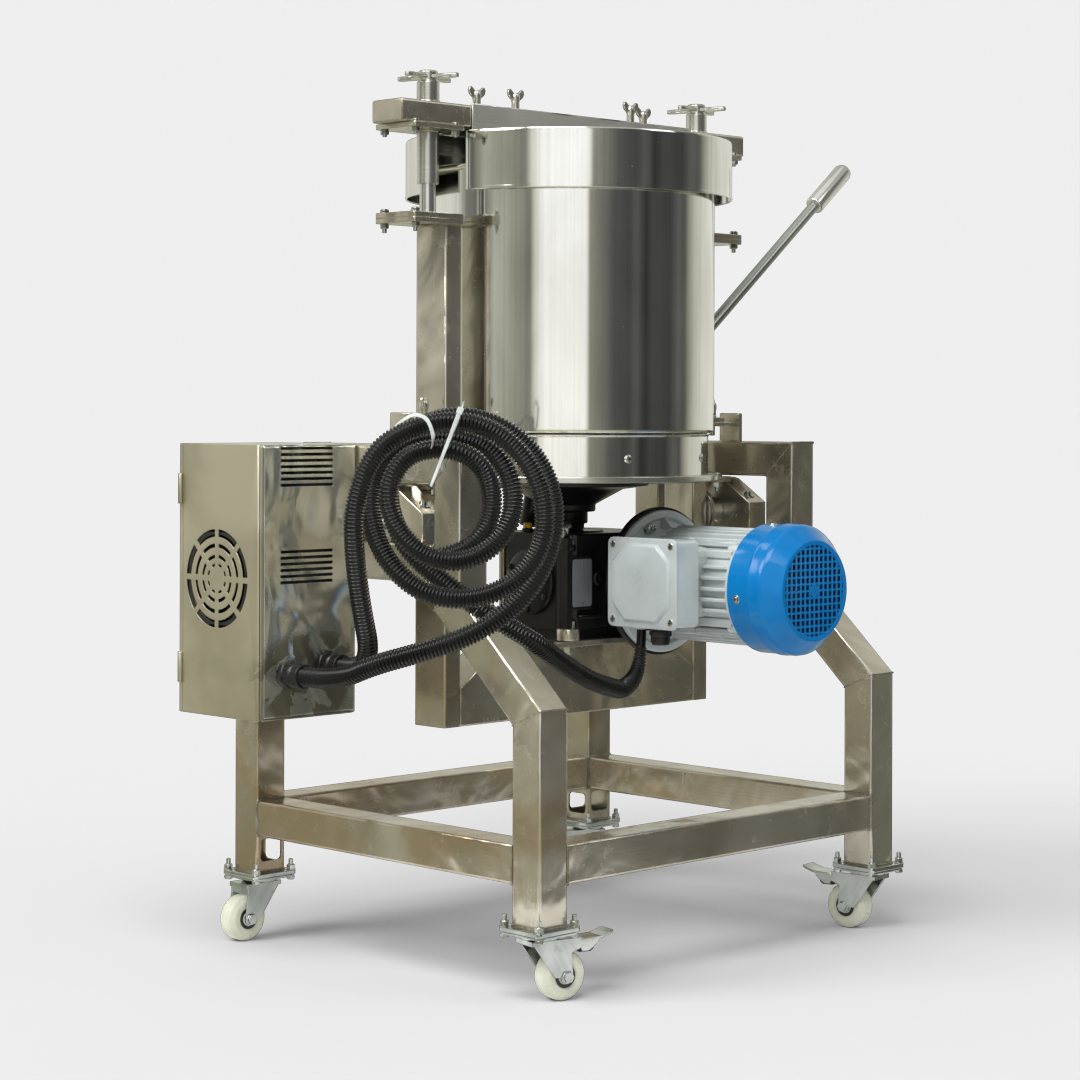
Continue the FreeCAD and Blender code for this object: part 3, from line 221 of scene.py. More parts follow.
def sheet_finish(name):
    """Rolled sheet of the control box: nearly even on its left, buckled and heat-stained round the glands."""
    f = Finish(name, Metallic=0.9)
    clouds = f.step(f.noise(f.place(), 6.0, 3.0, 0.5, 0.4), 0.34, 0.66)
    inset = f.step(f.coordinate(0), -0.519, -0.512)
    colour = f.blend(f.blend(srgb(176, 170, 148), srgb(200, 194, 172), clouds),
                     f.blend(srgb(178, 178, 168), srgb(206, 206, 198), clouds), inset)
    gaps = [f.node("ShaderNodeVectorMath", {"operation": "DISTANCE"}, {0: f.where(), 1: spot}, out=1)
            for spot in ((-0.47, 0.044, 0.395), (-0.41, 0.044, 0.40), (-0.44, 0.044, 0.36))]
    first, second, third = [f.step(gap, 0.03, 0.075, 1.0, 0.0) for gap in gaps]
    stain = f.step(first + second + third, 0.2, 0.9) * f.patches((3, 1, 8), 0.47, 0.5, 30.0, 4.0, 0.55, 0.9)
    colour = f.blend(colour, srgb(104, 98, 82), stain * 0.8)
    f.set(Base_Color=colour, Roughness=f.step(inset, 0.0, 1.0, 0.42, 0.2) + stain * 0.12)
    wave = f.noise(f.place((1.0, 1.0, 0.6), (0, 0.6, 0), (2, 2, 2)), 7.5, 2.0, 0.4, 1.2)
    f.bump(wave * inset + wave * 0.04, 1.0, 0.024)
    return f.material


def moulded(name, colour, rough, grain=0.12, scale=700.0, metal=0.0, worn=None, coat=0.0, gloss=0.5, mottle=1.0):
    """Plastic or paint: faint tone changes, fine texture, and worn or dusty patches."""
    f = Finish(name, Metallic=metal, Coat_Weight=coat, Coat_Roughness=0.15, Specular_IOR_Level=gloss)
    tone = f.noise(f.place(), 18.0, 4.0, 0.6)
    speck = f.noise(f.place(), scale, 2.0, 0.5)
    pale = tuple(min(1.0, c * (1 + 0.25 * mottle) + 0.004 * mottle) for c in colour[:3]) + (1.0,)
    dark = tuple(c * (1 - 0.18 * mottle) for c in colour[:3]) + (1.0,)
    shade = f.blend(dark, pale, f.step(tone, 0.3, 0.7))
    if worn:
        shade = f.blend(shade, worn, f.patches((5, 3, 1), 0.6, 0.68, 60.0, 6.0, 0.7, 1.0) * 0.6)
    f.set(Base_Color=shade, Roughness=f.step(tone * 0.6 + speck * 0.4, 0.3, 0.7, rough - 0.07, rough + 0.1))
    f.bump(speck, grain, 0.0004)
    return f.material


def polished(name, dark, pale):
    """Mirror-polished sheet with faint upright polishing lines, wipe marks and scattered specks."""
    f = Finish(name, Metallic=1.0)
    line = f.noise(f.place((160.0, 160.0, 0.6)), 1.0, 4.0, 0.7)
    wipe = f.noise(f.place((3.0, 3.0, 1.0)), 5.0, 3.0, 0.5, 0.5)
    speck = f.patches((9, 9, 0), 0.8, 0.84, 230.0, 1.0, 0.5)
    colour = f.blend(dark, pale, f.step(wipe * 0.6 + line * 0.4, 0.32, 0.68))
    f.set(Base_Color=f.blend(colour, srgb(240, 240, 238), speck * 0.6),
          Roughness=f.step(line * 0.6 + wipe * 0.4, 0.3, 0.75, 0.06, 0.13) + speck * 0.3)
    f.bump(line, 0.06, 0.0002)
    return f.material


def granite(name):
    """Ground granite: pale and dark crystals in a grey body."""
    f = Finish(name, Roughness=0.55)
    crystal = f.node("ShaderNodeTexVoronoi", {"feature": "F1"}, {"Vector": f.place(), "Scale": 260.0}, out=1)
    body = f.noise(f.place(), 40.0, 6.0, 0.7)
    stone = f.blend(srgb(96, 92, 90), srgb(176, 170, 166), f.node("ShaderNodeSeparateColor", None, {0: crystal}))
    f.set(Base_Color=f.blend(stone, srgb(52, 48, 50), f.step(body, 0.56, 0.7)))
    f.bump(body, 0.3, 0.0006)
    return f.material


WARM_DARK = srgb(170, 163, 147)
WARM_PALE = srgb(206, 200, 186)
FINISHES = {
    "stainless": steel("brushed_stainless", WARM_DARK, WARM_PALE, (0.2, 0.4), 500.0, streaks=0.12, pits=0.2,
                       wavy=0.013),
    "stainless_turned": steel("turned_stainless", srgb(170, 169, 160), srgb(206, 205, 198), (0.2, 0.32), 700.0,
                              streaks=0.5),
    "stainless_plain": steel("plain_stainless", WARM_DARK, WARM_PALE, (0.2, 0.4), attribute=False, streaks=0.12,
                             pits=0.2, wavy=0.013),
    "sheet": sheet_finish("box_sheet"),
    "weld": steel("weld_bead", srgb(132, 126, 112), srgb(182, 176, 160), (0.26, 0.42), 300.0, cloud=40.0, pits=0.8),
    "zinc": steel("zinc_plate", srgb(152, 158, 156), srgb(204, 208, 204), (0.14, 0.26), 300.0, cloud=14.0, metal=1.0),
    "zinc_plain": steel("zinc_plain", srgb(156, 161, 160), srgb(208, 212, 209), (0.14, 0.26), 90.0,
                        attribute=False, cloud=14.0, metal=1.0),
    "polished": polished("polished_drum", srgb(214, 214, 209), srgb(240, 240, 237)),
    "polished_flat": steel("polished_flange", srgb(212, 211, 203), srgb(234, 233, 227), (0.3, 0.42), 700.0,
                           metal=0.85),
    "lever_steel": steel("lever_steel", srgb(138, 141, 136), srgb(174, 177, 171), (0.26, 0.36), 300.0),
    "polished_rod": steel("polished_rod", srgb(190, 190, 186), srgb(226, 226, 222), (0.1, 0.2), 500.0),
    "granite": granite("ground_granite"),
    "steel_plain": steel("machined_steel", srgb(120, 120, 120), srgb(180, 180, 178), attribute=False),
    "black_casting": moulded("black_casting", srgb(15, 15, 16), 0.34, 0.5, 260.0, worn=srgb(38, 38, 40), coat=0.1,
                             gloss=0.35),
    "black_paint": moulded("black_paint", srgb(15, 15, 16), 0.34, 0.15, gloss=0.4),
    "grey_motor": moulded("grey_motor_paint", srgb(176, 184, 184), 0.32, 0.16, 260.0, coat=0.2, mottle=0.35),
    "blue_cowl": moulded("blue_cowl_enamel", srgb(0, 108, 172), 0.18, 0.03, 60.0, coat=0.25, gloss=0.12,
                          mottle=0.25),
    "grey_plastic": moulded("grey_plastic", srgb(52, 54, 56), 0.5),
    "black_plastic": moulded("black_plastic", srgb(13, 13, 14), 0.34),
    "conduit": moulded("black_conduit", srgb(5, 5, 6), 0.22, 0.03, 500.0, gloss=0.26),
    "rubber": moulded("bush_rubber", srgb(74, 77, 78), 0.6, 0.3),
    "red_plastic": moulded("red_button", srgb(190, 22, 20), 0.32),
    "nylon": moulded("cream_nylon", srgb(203, 205, 186), 0.3, 0.06, 200.0, mottle=0.4),
    "tie": moulded("white_tie", srgb(186, 190, 187), 0.36, 0.1),
    "plate_grey": moulded("blank_plate_grey", srgb(132, 140, 146), 0.3, 0.05, metal=0.4),
    "yellow": moulded("yellow_plug", srgb(230, 180, 10), 0.3),
    # Painted shade: near-black for the screws' cross slots, which are not cut
    "dark": moulded("painted_slot_shade", srgb(12, 12, 12), 0.8),
}
SLOT_OF = {row["node"]: row["material_slot"] for row in frame["record"]["subparts"]}
BODY_OF = {node: body for body, nodes in frame["record"]["behaviour"]["bodies"].items() for node in nodes}
PLAIN = {"stainless": "stainless_plain", "zinc": "zinc_plain", "steel": "steel_plain", "white_nylon": "nylon"}


# Shapes, in millimetres
def unit(v):
    """The direction of a vector."""
    return vec(v) / np.linalg.norm(v)


def axes_of(axis, up=None):
    """Two directions square to an axis, and the axis: the rows of a turn."""
    ez = unit(axis)
    guess = vec(up) if up is not None else (X if abs(ez[0]) < 0.9 else Y)
    ex = unit(guess - ez * np.dot(guess, ez))
    return np.array([ex, np.cross(ez, ex), ez])


def spokes(count, start=0.0, ex=X, ey=Y):
    """Directions spread evenly over a whole turn, from a first angle in degrees."""
    angles = [math.radians(start + 360 / count * k) for k in range(count)]
    return [math.cos(a) * ex + math.sin(a) * ey for a in angles]


def keep_grain(mesh, lay):
    """Stores the grain coordinates of each point, which the steels read."""
    mesh.attributes.new("lay", "FLOAT_VECTOR", "POINT").data.foreach_set(
        "vector", (lay * MM).astype(np.float32).ravel())


class Shape:
    """Closed surfaces gathered into one piece, each with its finish and its grain."""

    def __init__(self, finish="stainless"):
        self.usual = finish
        self.points = []
        self.lay = []
        self.faces = []
        self.smooth = []
        self.finish = []
        self.count = 0
        self.names = []

    def add(self, points, faces, finish, lay=None, smooth=True):
        """Adds one closed surface; smooth is one answer for all of its faces, or one for each."""
        points = vec(points).reshape(-1, 3)
        finish = finish or self.usual
        if finish not in self.names:
            self.names.append(finish)
        self.points.append(points)
        self.lay.append(np.zeros_like(points) if lay is None else vec(lay).reshape(-1, 3))
        self.faces.extend([tuple(int(i) + self.count for i in face) for face in faces])
        self.smooth.extend([smooth] * len(faces) if isinstance(smooth, bool) else [bool(f) for f in smooth])
        self.finish.extend([self.names.index(finish)] * len(faces))
        self.count += len(points)

    def mesh(self, name):
        return mesh_of(name, np.concatenate(self.points) * MM, self.faces)

    def piece(self, name, body, slot, *nodes):
        """Makes the object, lets it ride on its body and stand for its CAD nodes."""
        mesh = self.mesh(name)
        mesh.polygons.foreach_set("use_smooth", self.smooth)
        mesh.polygons.foreach_set("material_index", self.finish)
        for finish in self.names:
            mesh.materials.append(FINISHES[finish])
        keep_grain(mesh, np.concatenate(self.lay))
        mesh.update()
        made = put(name, mesh)
        if body is not None:
            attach(made, body)
        if nodes:
            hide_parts(*nodes)
        return made


def rings_to_faces(rows, columns, wrap=True):
    """Quads between neighbouring rings of points, closed round each ring if wrap."""
    i = np.arange(rows - 1)[:, None] * columns
    j = np.arange(columns if wrap else columns - 1)[None, :]
    k = (j + 1) % columns
    return np.stack([i + j, i + k, i + columns + k, i + columns + j], axis=-1).reshape(-1, 4)


def seam(rows, columns, wrap=True):
    """Quads from the last ring back to the first."""
    quads = rings_to_faces(2, columns, wrap)
    return np.where(quads >= columns, quads - columns, quads + (rows - 1) * columns).tolist()


def skin(rows, columns, loop):
    """Quads between closed rings, and either the seam of a loop or two end faces."""
    last = (rows - 1) * columns
    ends = [list(range(columns))[::-1], list(range(last, last + columns))]
    return rings_to_faces(rows, columns).tolist() + (seam(rows, columns) if loop else ends)


def eased(profile, edge):
    """A profile whose corners are rounded by arcs, with a point held close beside each arc."""
    profile = vec(profile)
    if edge <= 0:
        return profile
    result = [profile[0]]
    for before, corner, after in zip(profile[:-2], profile[1:-1], profile[2:]):
        a = before - corner
        b = after - corner
        la = np.linalg.norm(a)
        lb = np.linalg.norm(b)
        turn = math.acos(np.clip(np.dot(a, b) / (la * lb), -1, 1))
        if turn > math.radians(150):
            result.append(corner)
            continue
        reach = min(edge, 0.4 * la, 0.4 * lb)
        t = np.linspace(0, 1, 4)[:, None]
        start = corner + a / la * reach
        end = corner + b / lb * reach
        arc = (1 - t) ** 2 * start + 2 * t * (1 - t) * corner + t ** 2 * end
        result.append(start + a / la * reach * 0.2)
        result.extend(arc)
        result.append(end + b / lb * reach * 0.2)
    result.append(profile[-1])
    return np.array(result)


def lathe(shape, profile, at=(0, 0, 0), axis=Z, edge=0.8, segments=64, finish=None, up=None, start=0.0, turn=TAU):
    """Radius and height carried round an axis: x = r cos a, y = r sin a, z = h.

    A profile that starts on the axis makes a solid with a pole at each end; any other one is closed in itself.
    A whole turn closes on itself; a part turn has its ends capped.
    """
    line = vec(profile)
    closed = line[0, 0] > 0
    if closed:
        line = eased(np.vstack([line[-1:], line, line[:1]]), edge)[1:-1]
    else:
        line = eased(line, edge)
    area = np.sum(line[:, 0] * np.roll(line[:, 1], -1) - np.roll(line[:, 0], -1) * line[:, 1])
    if area < 0:
        line = line[::-1]
    whole = abs(turn - TAU) < 1e-6
    columns = segments if whole else segments + 1
    angle = start + np.arange(columns) * turn / segments
    r = line[:, 0][:, None]
    h = line[:, 1][:, None] + 0 * angle
    local = np.stack([r * np.cos(angle), r * np.sin(angle), h], axis=-1)
    points = (vec(at) + local @ axes_of(axis, up)).reshape(-1, 3)
    grain = np.stack([local[..., 0], local[..., 1], h + r], axis=-1).reshape(-1, 3)
    rows = len(line)
    faces = rings_to_faces(rows, columns, whole).tolist()
    smooth = True
    if closed:
        faces += seam(rows, columns, whole)
    else:
        # Each pole keeps the first point of its ring.
        poles = [(0, columns), ((rows - 1) * columns, rows * columns)]
        kept = np.ones(len(points), bool)
        for low, high in poles:
            faces = [tuple(low if low <= i < high else i for i in f) for f in faces]
            kept[low + 1:high] = False
        index = np.cumsum(kept) - 1
        faces = [tuple(int(index[i]) for i in dict.fromkeys(f)) for f in faces]
        points = points[kept]
        grain = grain[kept]
    if not whole:
        smooth = [True] * len(faces) + [False, False]
        ends = [int(k) * columns for k in range(rows)]
        faces += [ends, [i + columns - 1 for i in ends][::-1]]
    shape.add(points, faces, finish, grain, smooth)


def band(inner, outer, low, high):
    """The profile of a ring, or of a disc where inner is 0."""
    return [(inner, low), (outer, low), (outer, high), (inner, high)]


def slab(shape, outline, low, high, at, axis, edge, up=None, along=None, tilt_low=(0, 0), tilt_high=(0, 0), steps=2,
         finish=None):
    """An outline carried along an axis, its rims rounded by shrinking the outline as it nears each end.

    A tilt cuts an end at a slope. Long sides and ends are shaded flat, arcs and rims smooth.
    """
    outline = vec(outline)
    after = np.roll(outline, -1, axis=0)
    if np.sum(outline[:, 0] * after[:, 1] - after[:, 0] * outline[:, 1]) < 0:
        outline = outline[::-1]
    sides = np.roll(outline, -1, axis=0) - outline
    length = np.linalg.norm(sides, axis=1)
    normal = np.stack([sides[:, 1], -sides[:, 0]], axis=1) / length[:, None]
    before = np.roll(normal, 1, axis=0)
    mitre = (normal + before) / np.maximum(0.3, 1 + np.sum(normal * before, axis=1))[:, None]
    rim = np.linspace(0, math.pi / 2, steps + 1)
    inset = edge * (1 - np.sin(rim))
    drop = edge * (1 - np.cos(rim))
    rows = []
    for height, tilt, shrinks, falls in ((low, tilt_low, inset, drop), (high, tilt_high, inset[::-1], -drop[::-1])):
        for shrink, fall in zip(shrinks, falls):
            flat = outline - mitre * shrink
            rows.append(np.column_stack([flat, height + fall + flat @ vec(tilt)]))
    n = len(outline)
    turn = axes_of(axis, up)
    points = vec(at) + np.array(rows) @ turn
    quad = np.arange((len(rows) - 1) * n)
    flat_shaded = (quad // n == steps) & (length[quad % n] > 3.0)
    grain_axis = unit(along) if along is not None else turn[2]
    slow = points @ grain_axis
    rest = points - slow[..., None] * grain_axis
    seed = float(np.sum(np.asarray(at) * [7.1, 3.3, 5.7]))
    lay = np.stack([slow, 0 * slow + seed, rest @ np.array([1.0, 1.0, 1.0])], axis=-1)
    shape.add(points, skin(len(rows), n, False), finish, lay, (~flat_shaded).tolist() + [False, False])


def rectangle(width, height, corner=0.0):
    """A rectangle's outline with its corners rounded by arcs."""
    if corner <= 0:
        return np.array([[-1, -1], [1, -1], [1, 1], [-1, 1]]) * [width / 2, height / 2]
    a = np.radians(np.concatenate([np.linspace(s, s + 90, 4) for s in (0, 90, 180, 270)]))
    return np.column_stack([np.repeat([1, -1, -1, 1], 4) * (width / 2 - corner) + corner * np.cos(a),
                            np.repeat([1, 1, -1, -1], 4) * (height / 2 - corner) + corner * np.sin(a)])


def hexagon(flats):
    """A hexagon's outline from its width across flats."""
    return vec(spokes(6))[:, :2] * flats / math.sqrt(3)


def brick(shape, low, high, edge, along=None, corner=0.0, axis="z", finish=None):
    """A rounded block between two corners; the corners about one axis may be rounder."""
    a = np.minimum(low, high).astype(float)
    b = np.maximum(low, high).astype(float)
    size = b - a
    k = "xyz".index(axis)
    second, third = (k + 1) % 3, (k + 2) % 3
    slab(shape, rectangle(size[second], size[third], corner), -size[k] / 2, size[k] / 2, (a + b) / 2, np.eye(3)[k],
         edge, np.eye(3)[second], along, finish=finish)


def nut(shape, at, axis, flats, height, finish="zinc", up=None):
    """A hexagon with a domed, turned face."""
    slab(shape, hexagon(flats), 0, height, at, axis, 0.06 * flats, up, finish=finish)
    top = height + 0.05 * flats
    lathe(shape, [(0, height - 0.2), (flats * 0.45, height - 0.2), (flats * 0.42, top), (0, top)], at, axis, 0, 24,
          finish)


def stud(shape, at, axis, radius, length, finish="zinc", pitch=1.0):
    """A threaded end: the radius rises and falls once a pitch, and the tip is chamfered."""
    turns = max(2, int(length / pitch))
    crests = np.column_stack([np.tile([0.86 * radius, radius], turns),
                              np.repeat(np.arange(turns), 2) * pitch + np.tile([0.05, 0.5], turns) * pitch])
    lathe(shape, np.vstack([[(0, 0)], crests, [(radius * 0.75, length), (0, length)]]), at, axis, 0, 20, finish)


def cap_screw(shape, at, axis, radius, height):
    """A round screw head with a socket."""
    lathe(shape, [(0, height * 0.55), (radius * 0.5, height * 0.55), (radius * 0.5, height), (radius * 0.92, height),
                  (radius, height * 0.85), (radius, 0), (0, 0)], at, axis, 0.15, 24, "zinc")


def pan_screw(shape, at, axis, radius, height, finish="zinc"):
    """A domed screw head; its cross slot is not cut but painted shade, two thin near-black bars on the dome."""
    lathe(shape, [(0, height), (radius * 0.5, height * 0.95), (radius * 0.85, height * 0.6), (radius, 0), (0, 0)],
          at, axis, 0.2, 20, finish)
    ex, ey, ez = axes_of(axis)
    # Painted shade: two thin near-black bars where the cross slot's recess would be
    for side in (ex, ey):
        slab(shape, rectangle(radius * 1.1, radius * 0.2), 0, height * 0.06, at + ez * (height * 0.97), ez, 0.02,
             side, finish="dark")


def rod(shape, start, end, radius, edge, segments):
    """A round bar between two points."""
    along = vec(end) - start
    lathe(shape, band(0, radius, 0, np.linalg.norm(along)), start, along, edge, segments)


def run_of(path):
    """Distance along a path at each of its points."""
    return np.concatenate([[0], np.cumsum(np.linalg.norm(np.diff(path, axis=0), axis=1))])


def rope(shape, path, radius, finish, segments, loop=False):
    """A round section carried along a path without twisting; the radius may change from point to point."""
    path = vec(path)
    step = np.gradient(path, axis=0)
    ahead = step / np.linalg.norm(step, axis=1)[:, None]
    side = np.empty_like(path)
    side[0] = axes_of(ahead[0])[0]
    for k in range(1, len(path)):
        side[k] = unit(side[k - 1] - ahead[k] * np.dot(side[k - 1], ahead[k]))
    other = np.cross(ahead, side)
    radius = np.broadcast_to(vec(radius), (len(path),))
    angle = np.arange(segments) * TAU / segments
    ring = np.cos(angle)[None, :, None] * side[:, None, :] + np.sin(angle)[None, :, None] * other[:, None, :]
    run = run_of(path)
    lay = np.stack(np.broadcast_arrays(run[:, None], 0 * run[:, None], 9 * angle[None, :]), axis=-1)
    shape.add(path[:, None, :] + radius[:, None, None] * ring, skin(len(path), segments, loop), finish, lay)


def weld(shape, start, end, radius, seed=0.0):
    """A bead between two points, swelling once every few millimetres and tapering at its ends."""
    start = vec(start)
    along = vec(end) - start
    length = np.linalg.norm(along)
    t = np.linspace(0, 1, max(8, int(length / 1.3)))
    swell = 1 + 0.22 * np.abs(np.sin(t * length / 3.2 * math.pi + seed)) + 0.08 * np.sin(t * 17 + seed)
    taper = np.minimum(1, np.minimum(t, 1 - t) * length / 3 + 0.45)
    rope(shape, start + t[:, None] * along, radius * swell * taper, "weld", 8)


def square_weld(shape, centre, across, up, radius):
    """Beads round a four-sided tube, from its centre and its two half widths."""
    corners = [vec(centre) + s * across + t * up for s, t in ((-1, -1), (1, -1), (1, 1), (-1, 1))]
    for k, (a, b) in enumerate(zip(corners, corners[1:] + corners[:1])):
        weld(shape, a, b, radius, k)


def ring_weld(shape, centre, axis, reach, radius):
    """A bead round a bar."""
    count = max(24, int(reach * TAU / 1.5))
    a = np.arange(count) * TAU / count
    ex, ey, ez = axes_of(axis)
    path = vec(centre) + reach * (np.cos(a)[:, None] * ex + np.sin(a)[:, None] * ey)
    ripples = max(4, round(reach * TAU / 3.2))
    rope(shape, path, radius * (1 + 0.2 * np.abs(np.sin(a * ripples / 2))), "weld", 8, True)


def tube(shape, a, b, up, low=None, high=None, width=TUBE, height=TUBE, corner=3.5):
    """A rectangular tube between two points; low and high are the normals of its mitred ends."""
    a = vec(a)
    along = vec(b) - a
    ex, ey, ez = axes_of(along, up)
    tilts = [(0, 0) if m is None else (-(ex @ m) / (ez @ m), -(ey @ m) / (ez @ m)) for m in (low, high)]
    slab(shape, rectangle(width, height, corner), 0, np.linalg.norm(along), a, along, 0.4, up, None, *tilts)


def read(rows, key, width=1, kind=int):
    """One property of all elements of a mesh."""
    values = np.zeros(len(rows) * width, kind)
    rows.foreach_get(key, values)
    return values.reshape(-1, width) if width > 1 else values


def islands(mesh):
    """One number per vertex, equal over each solid: the lowest index that it is joined to."""
    ends = read(mesh.edges, "vertices", 2)
    label = np.arange(len(mesh.vertices))
    while True:
        low = np.minimum(label[ends[:, 0]], label[ends[:, 1]])
        lower = label.copy()
        np.minimum.at(lower, ends[:, 0], low)
        np.minimum.at(lower, ends[:, 1], low)
        lower = lower[lower]
        if np.array_equal(lower, label):
            return label
        label = lower


def dressed(node, finish, edge, turned=False):
    """A copy of a CAD node, merged, with rounded edges, grain and finishes, standing for the node.

    The finish may be a function of a solid's low and high corner, in millimetres.
    """
    mesh = frame["nodes"][node].data.copy()
    mesh.name = node + "_dressed"
    work = bmesh.new()
    work.from_mesh(mesh)
    bmesh.ops.remove_doubles(work, verts=work.verts, dist=1e-6)
    work.to_mesh(mesh)
    work.free()
    points = read(mesh.vertices, "co", 3, float) / MM
    solids, solid_of = np.unique(islands(mesh), return_inverse=True)
    lay = np.zeros_like(points)
    width = np.zeros(len(solids))
    names = []
    finish_of = []
    for k in range(len(solids)):
        own = points[solid_of == k]
        low = own.min(axis=0)
        high = own.max(axis=0)
        width[k] = min(edge, 0.13 * (high - low).min())
        chosen = finish(low, high) if callable(finish) else finish
        if chosen not in names:
            names.append(chosen)
        finish_of.append(names.index(chosen))
        spread = own - own.mean(axis=0)
        axis = np.linalg.eigh(spread.T @ spread)[1][:, 2]
        slow = own @ axis
        grain = [slow, 0 * slow + k * 10.0, (own - slow[:, None] * axis).sum(axis=1)]
        lay[solid_of == k] = np.column_stack([spread[:, 0], spread[:, 1], slow] if turned else grain)
    keep_grain(mesh, lay)
    mesh.materials.clear()
    for chosen in names:
        mesh.materials.append(FINISHES[chosen])
    first = read(mesh.polygons, "loop_start")
    corners = read(mesh.loops, "vertex_index")
    mesh.polygons.foreach_set("material_index", np.array(finish_of)[solid_of[corners[first]]])
    # Only sharp edges are rounded; faces in one plane with all that they meet smoothly are shaded flat
    work = bmesh.new()
    work.from_mesh(mesh)
    bend = np.array([e.calc_face_angle(0.0) for e in work.edges])
    work.free()
    sharp = bend > math.radians(28)
    widest = max(width.max(), 1e-3)
    share = np.where(sharp, width[solid_of[read(mesh.edges, "vertices", 2)[:, 0]]] / widest, 0.0)
    mesh.attributes.new("bevel_weight_edge", "FLOAT", "EDGE").data.foreach_set("value", share.astype(np.float32))
    steepest = np.maximum.reduceat(np.where(sharp, 0.0, bend)[read(mesh.loops, "edge_index")], first)
    mesh.polygons.foreach_set("use_smooth", (steepest > math.radians(0.4)).tolist())
    made = put(mesh.name, mesh)
    bevel = made.modifiers.new("edges", "BEVEL")
    bevel.limit_method = "WEIGHT"
    bevel.width = widest * MM
    bevel.segments = 2
    bevel.use_clamp_overlap = False
    bevel.harden_normals = True
    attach(made, BODY_OF[node])
    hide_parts(node)


for node, thing in frame["nodes"].items():
    thing.data.materials.clear()
    thing.data.materials.append(FINISHES[PLAIN.get(SLOT_OF[node], SLOT_OF[node])])

# Camera
ACROSS = unit([0.7110, -0.7032, 0])
INWARD = unit([0.7032, 0.7110, 0])
ROLL = math.radians(0.183)
lens = bpy.data.cameras.new("lens")
lens.sensor_width = 36
lens.lens = 86.57
lens.shift_y = -0.1205
lens.clip_end = 60
camera = put("camera", lens)
stance = np.eye(4)
stance[:3, 0] = math.cos(ROLL) * ACROSS + math.sin(ROLL) * Z
stance[:3, 1] = -math.sin(ROLL) * ACROSS + math.cos(ROLL) * Z
stance[:3, 2] = -INWARD
stance[:3, 3] = (-2.6214, -2.5938, 0.7423)
camera.matrix_world = Matrix(stance.tolist())
bpy.context.scene.camera = camera
bpy.context.scene.view_settings.view_transform = "Standard"

# Conduit: its radius, the distance between its ribs, and the points that its route follows
HOSE_R = 13.0
RIB = 4.8


def coil_points(rows):
    """Across, inward and up, turned 45 degrees into the frame."""
    across, inward, up = vec(rows).T
    return np.column_stack([(across + inward) * math.sqrt(0.5), (inward - across) * math.sqrt(0.5), up])


feed_a = np.array([(-475, 9.7, 396), (-475, -58, 396), (-463, -113, 419), (-430, -164, 436), (-396, -204, 453),
                   (-363, -235, 477), (-331, -254, 509)])
feed_b = np.array([(-410.5, 9.7, 404.5), (-410.5, -30, 404.5), (-428, -66, 432), (-446, -73, 478),
                   (-460, -77, 530)])
turns_a = coil_points([
    (-32, -400, 545), (-21, -390, 582), (-18, -383, 618), (-27, -380, 655), (-46, -379, 688), (-73, -379, 713),
    (-106, -379, 729), (-144, -379, 735), (-180, -372, 727), (-207, -357, 708), (-225, -346, 682),
    (-233, -347, 652), (-231, -357, 622), (-222, -367, 592), (-203, -376, 559), (-165, -385, 526)])
turns_b = coil_points([
    (-274, -395, 585), (-272, -398, 615), (-266, -401, 640), (-257, -403, 668), (-238, -405, 696),
    (-202, -406, 718), (-160, -407, 729), (-119, -407, 725), (-84, -407, 709), (-56, -407, 682),
    (-37, -408, 647), (-30, -410, 609), (-34, -412, 574), (-50, -414, 543), (-75, -416, 520), (-110, -418, 506),
    (-148, -418, 503), (-186, -413, 512), (-217, -406, 535), (-240, -394, 565), (-252, -380, 600),
    (-254, -376, 634), (-245, -375, 666), (-224, -375, 690), (-195, -376, 703), (-160, -379, 706),
    (-126, -380, 702), (-100, -383, 691), (-80, -387, 668), (-71, -391, 639), (-72, -397, 609),
    (-84, -402, 582), (-106, -404, 562), (-135, -404, 550), (-165, -404, 551), (-192, -402, 563),
    (-213, -400, 584), (-227, -401, 611), (-230, -402, 639), (-221, -403, 665), (-203, -403, 685),
    (-176, -403, 693), (-147, -402, 692), (-121, -395, 681), (-104, -383, 659), (-98, -375, 632),
    (-100, -375, 604), (-113, -378, 578), (-138, -379, 560), (-166, -378, 554)])
lead = np.array([(-362, -199, 491), (-333, -223, 468), (-297, -240, 445), (-240, -226, 416), (-173, -211, 387),
                 (-108, -194, 370), (-83, -188, 366), (-51, -182, 381), (-36, -177, 412), (-35, -177, 443.8)])


def smooth_route(name, points):
    """Points read from the NURBS spline that the route's points control."""
    curve = bpy.data.curves.new(name, "CURVE")
    curve.dimensions = "3D"
    spline = curve.splines.new("NURBS")
    spline.points.add(len(points) - 1)
    spline.points.foreach_set("co", np.column_stack([points, np.ones(len(points))]).ravel())
    spline.order_u = 3
    spline.use_endpoint_u = True
    spline.resolution_u = 24
    holder = put(name, curve)
    bpy.context.view_layer.update()
    line = read(bpy.data.meshes.new_from_object(holder).vertices, "co", 3, float)
    bpy.data.objects.remove(holder)
    return line


def hose(name, points, body, nodes, thin_after=None):
    """A corrugated conduit along its spline; past thin_after it narrows to the taped sleeve."""
    route = smooth_route(name + "_route", points)
    whole = run_of(route)
    at = np.linspace(0, whole[-1], int(round(whole[-1] / (RIB / 6))) + 1)
    path = np.stack([np.interp(at, whole, route[:, k]) for k in range(3)], axis=1)
    run = run_of(path)
    radius = HOSE_R - 1.3 + 1.3 * np.clip(np.cos(run / RIB * TAU) * 1.25 + 0.45, -1, 1)
    if thin_after is not None:
        radius = radius - 4.3 * np.clip((run - thin_after) / 60, 0, 1)
        radius = np.where(run > run[-1] - 24, 6.6, radius)
    shape = Shape()
    rope(shape, path, radius, "conduit", 18)
    made = shape.piece(name, body, "conduit", *nodes)
    made.visible_glossy = False
    return made


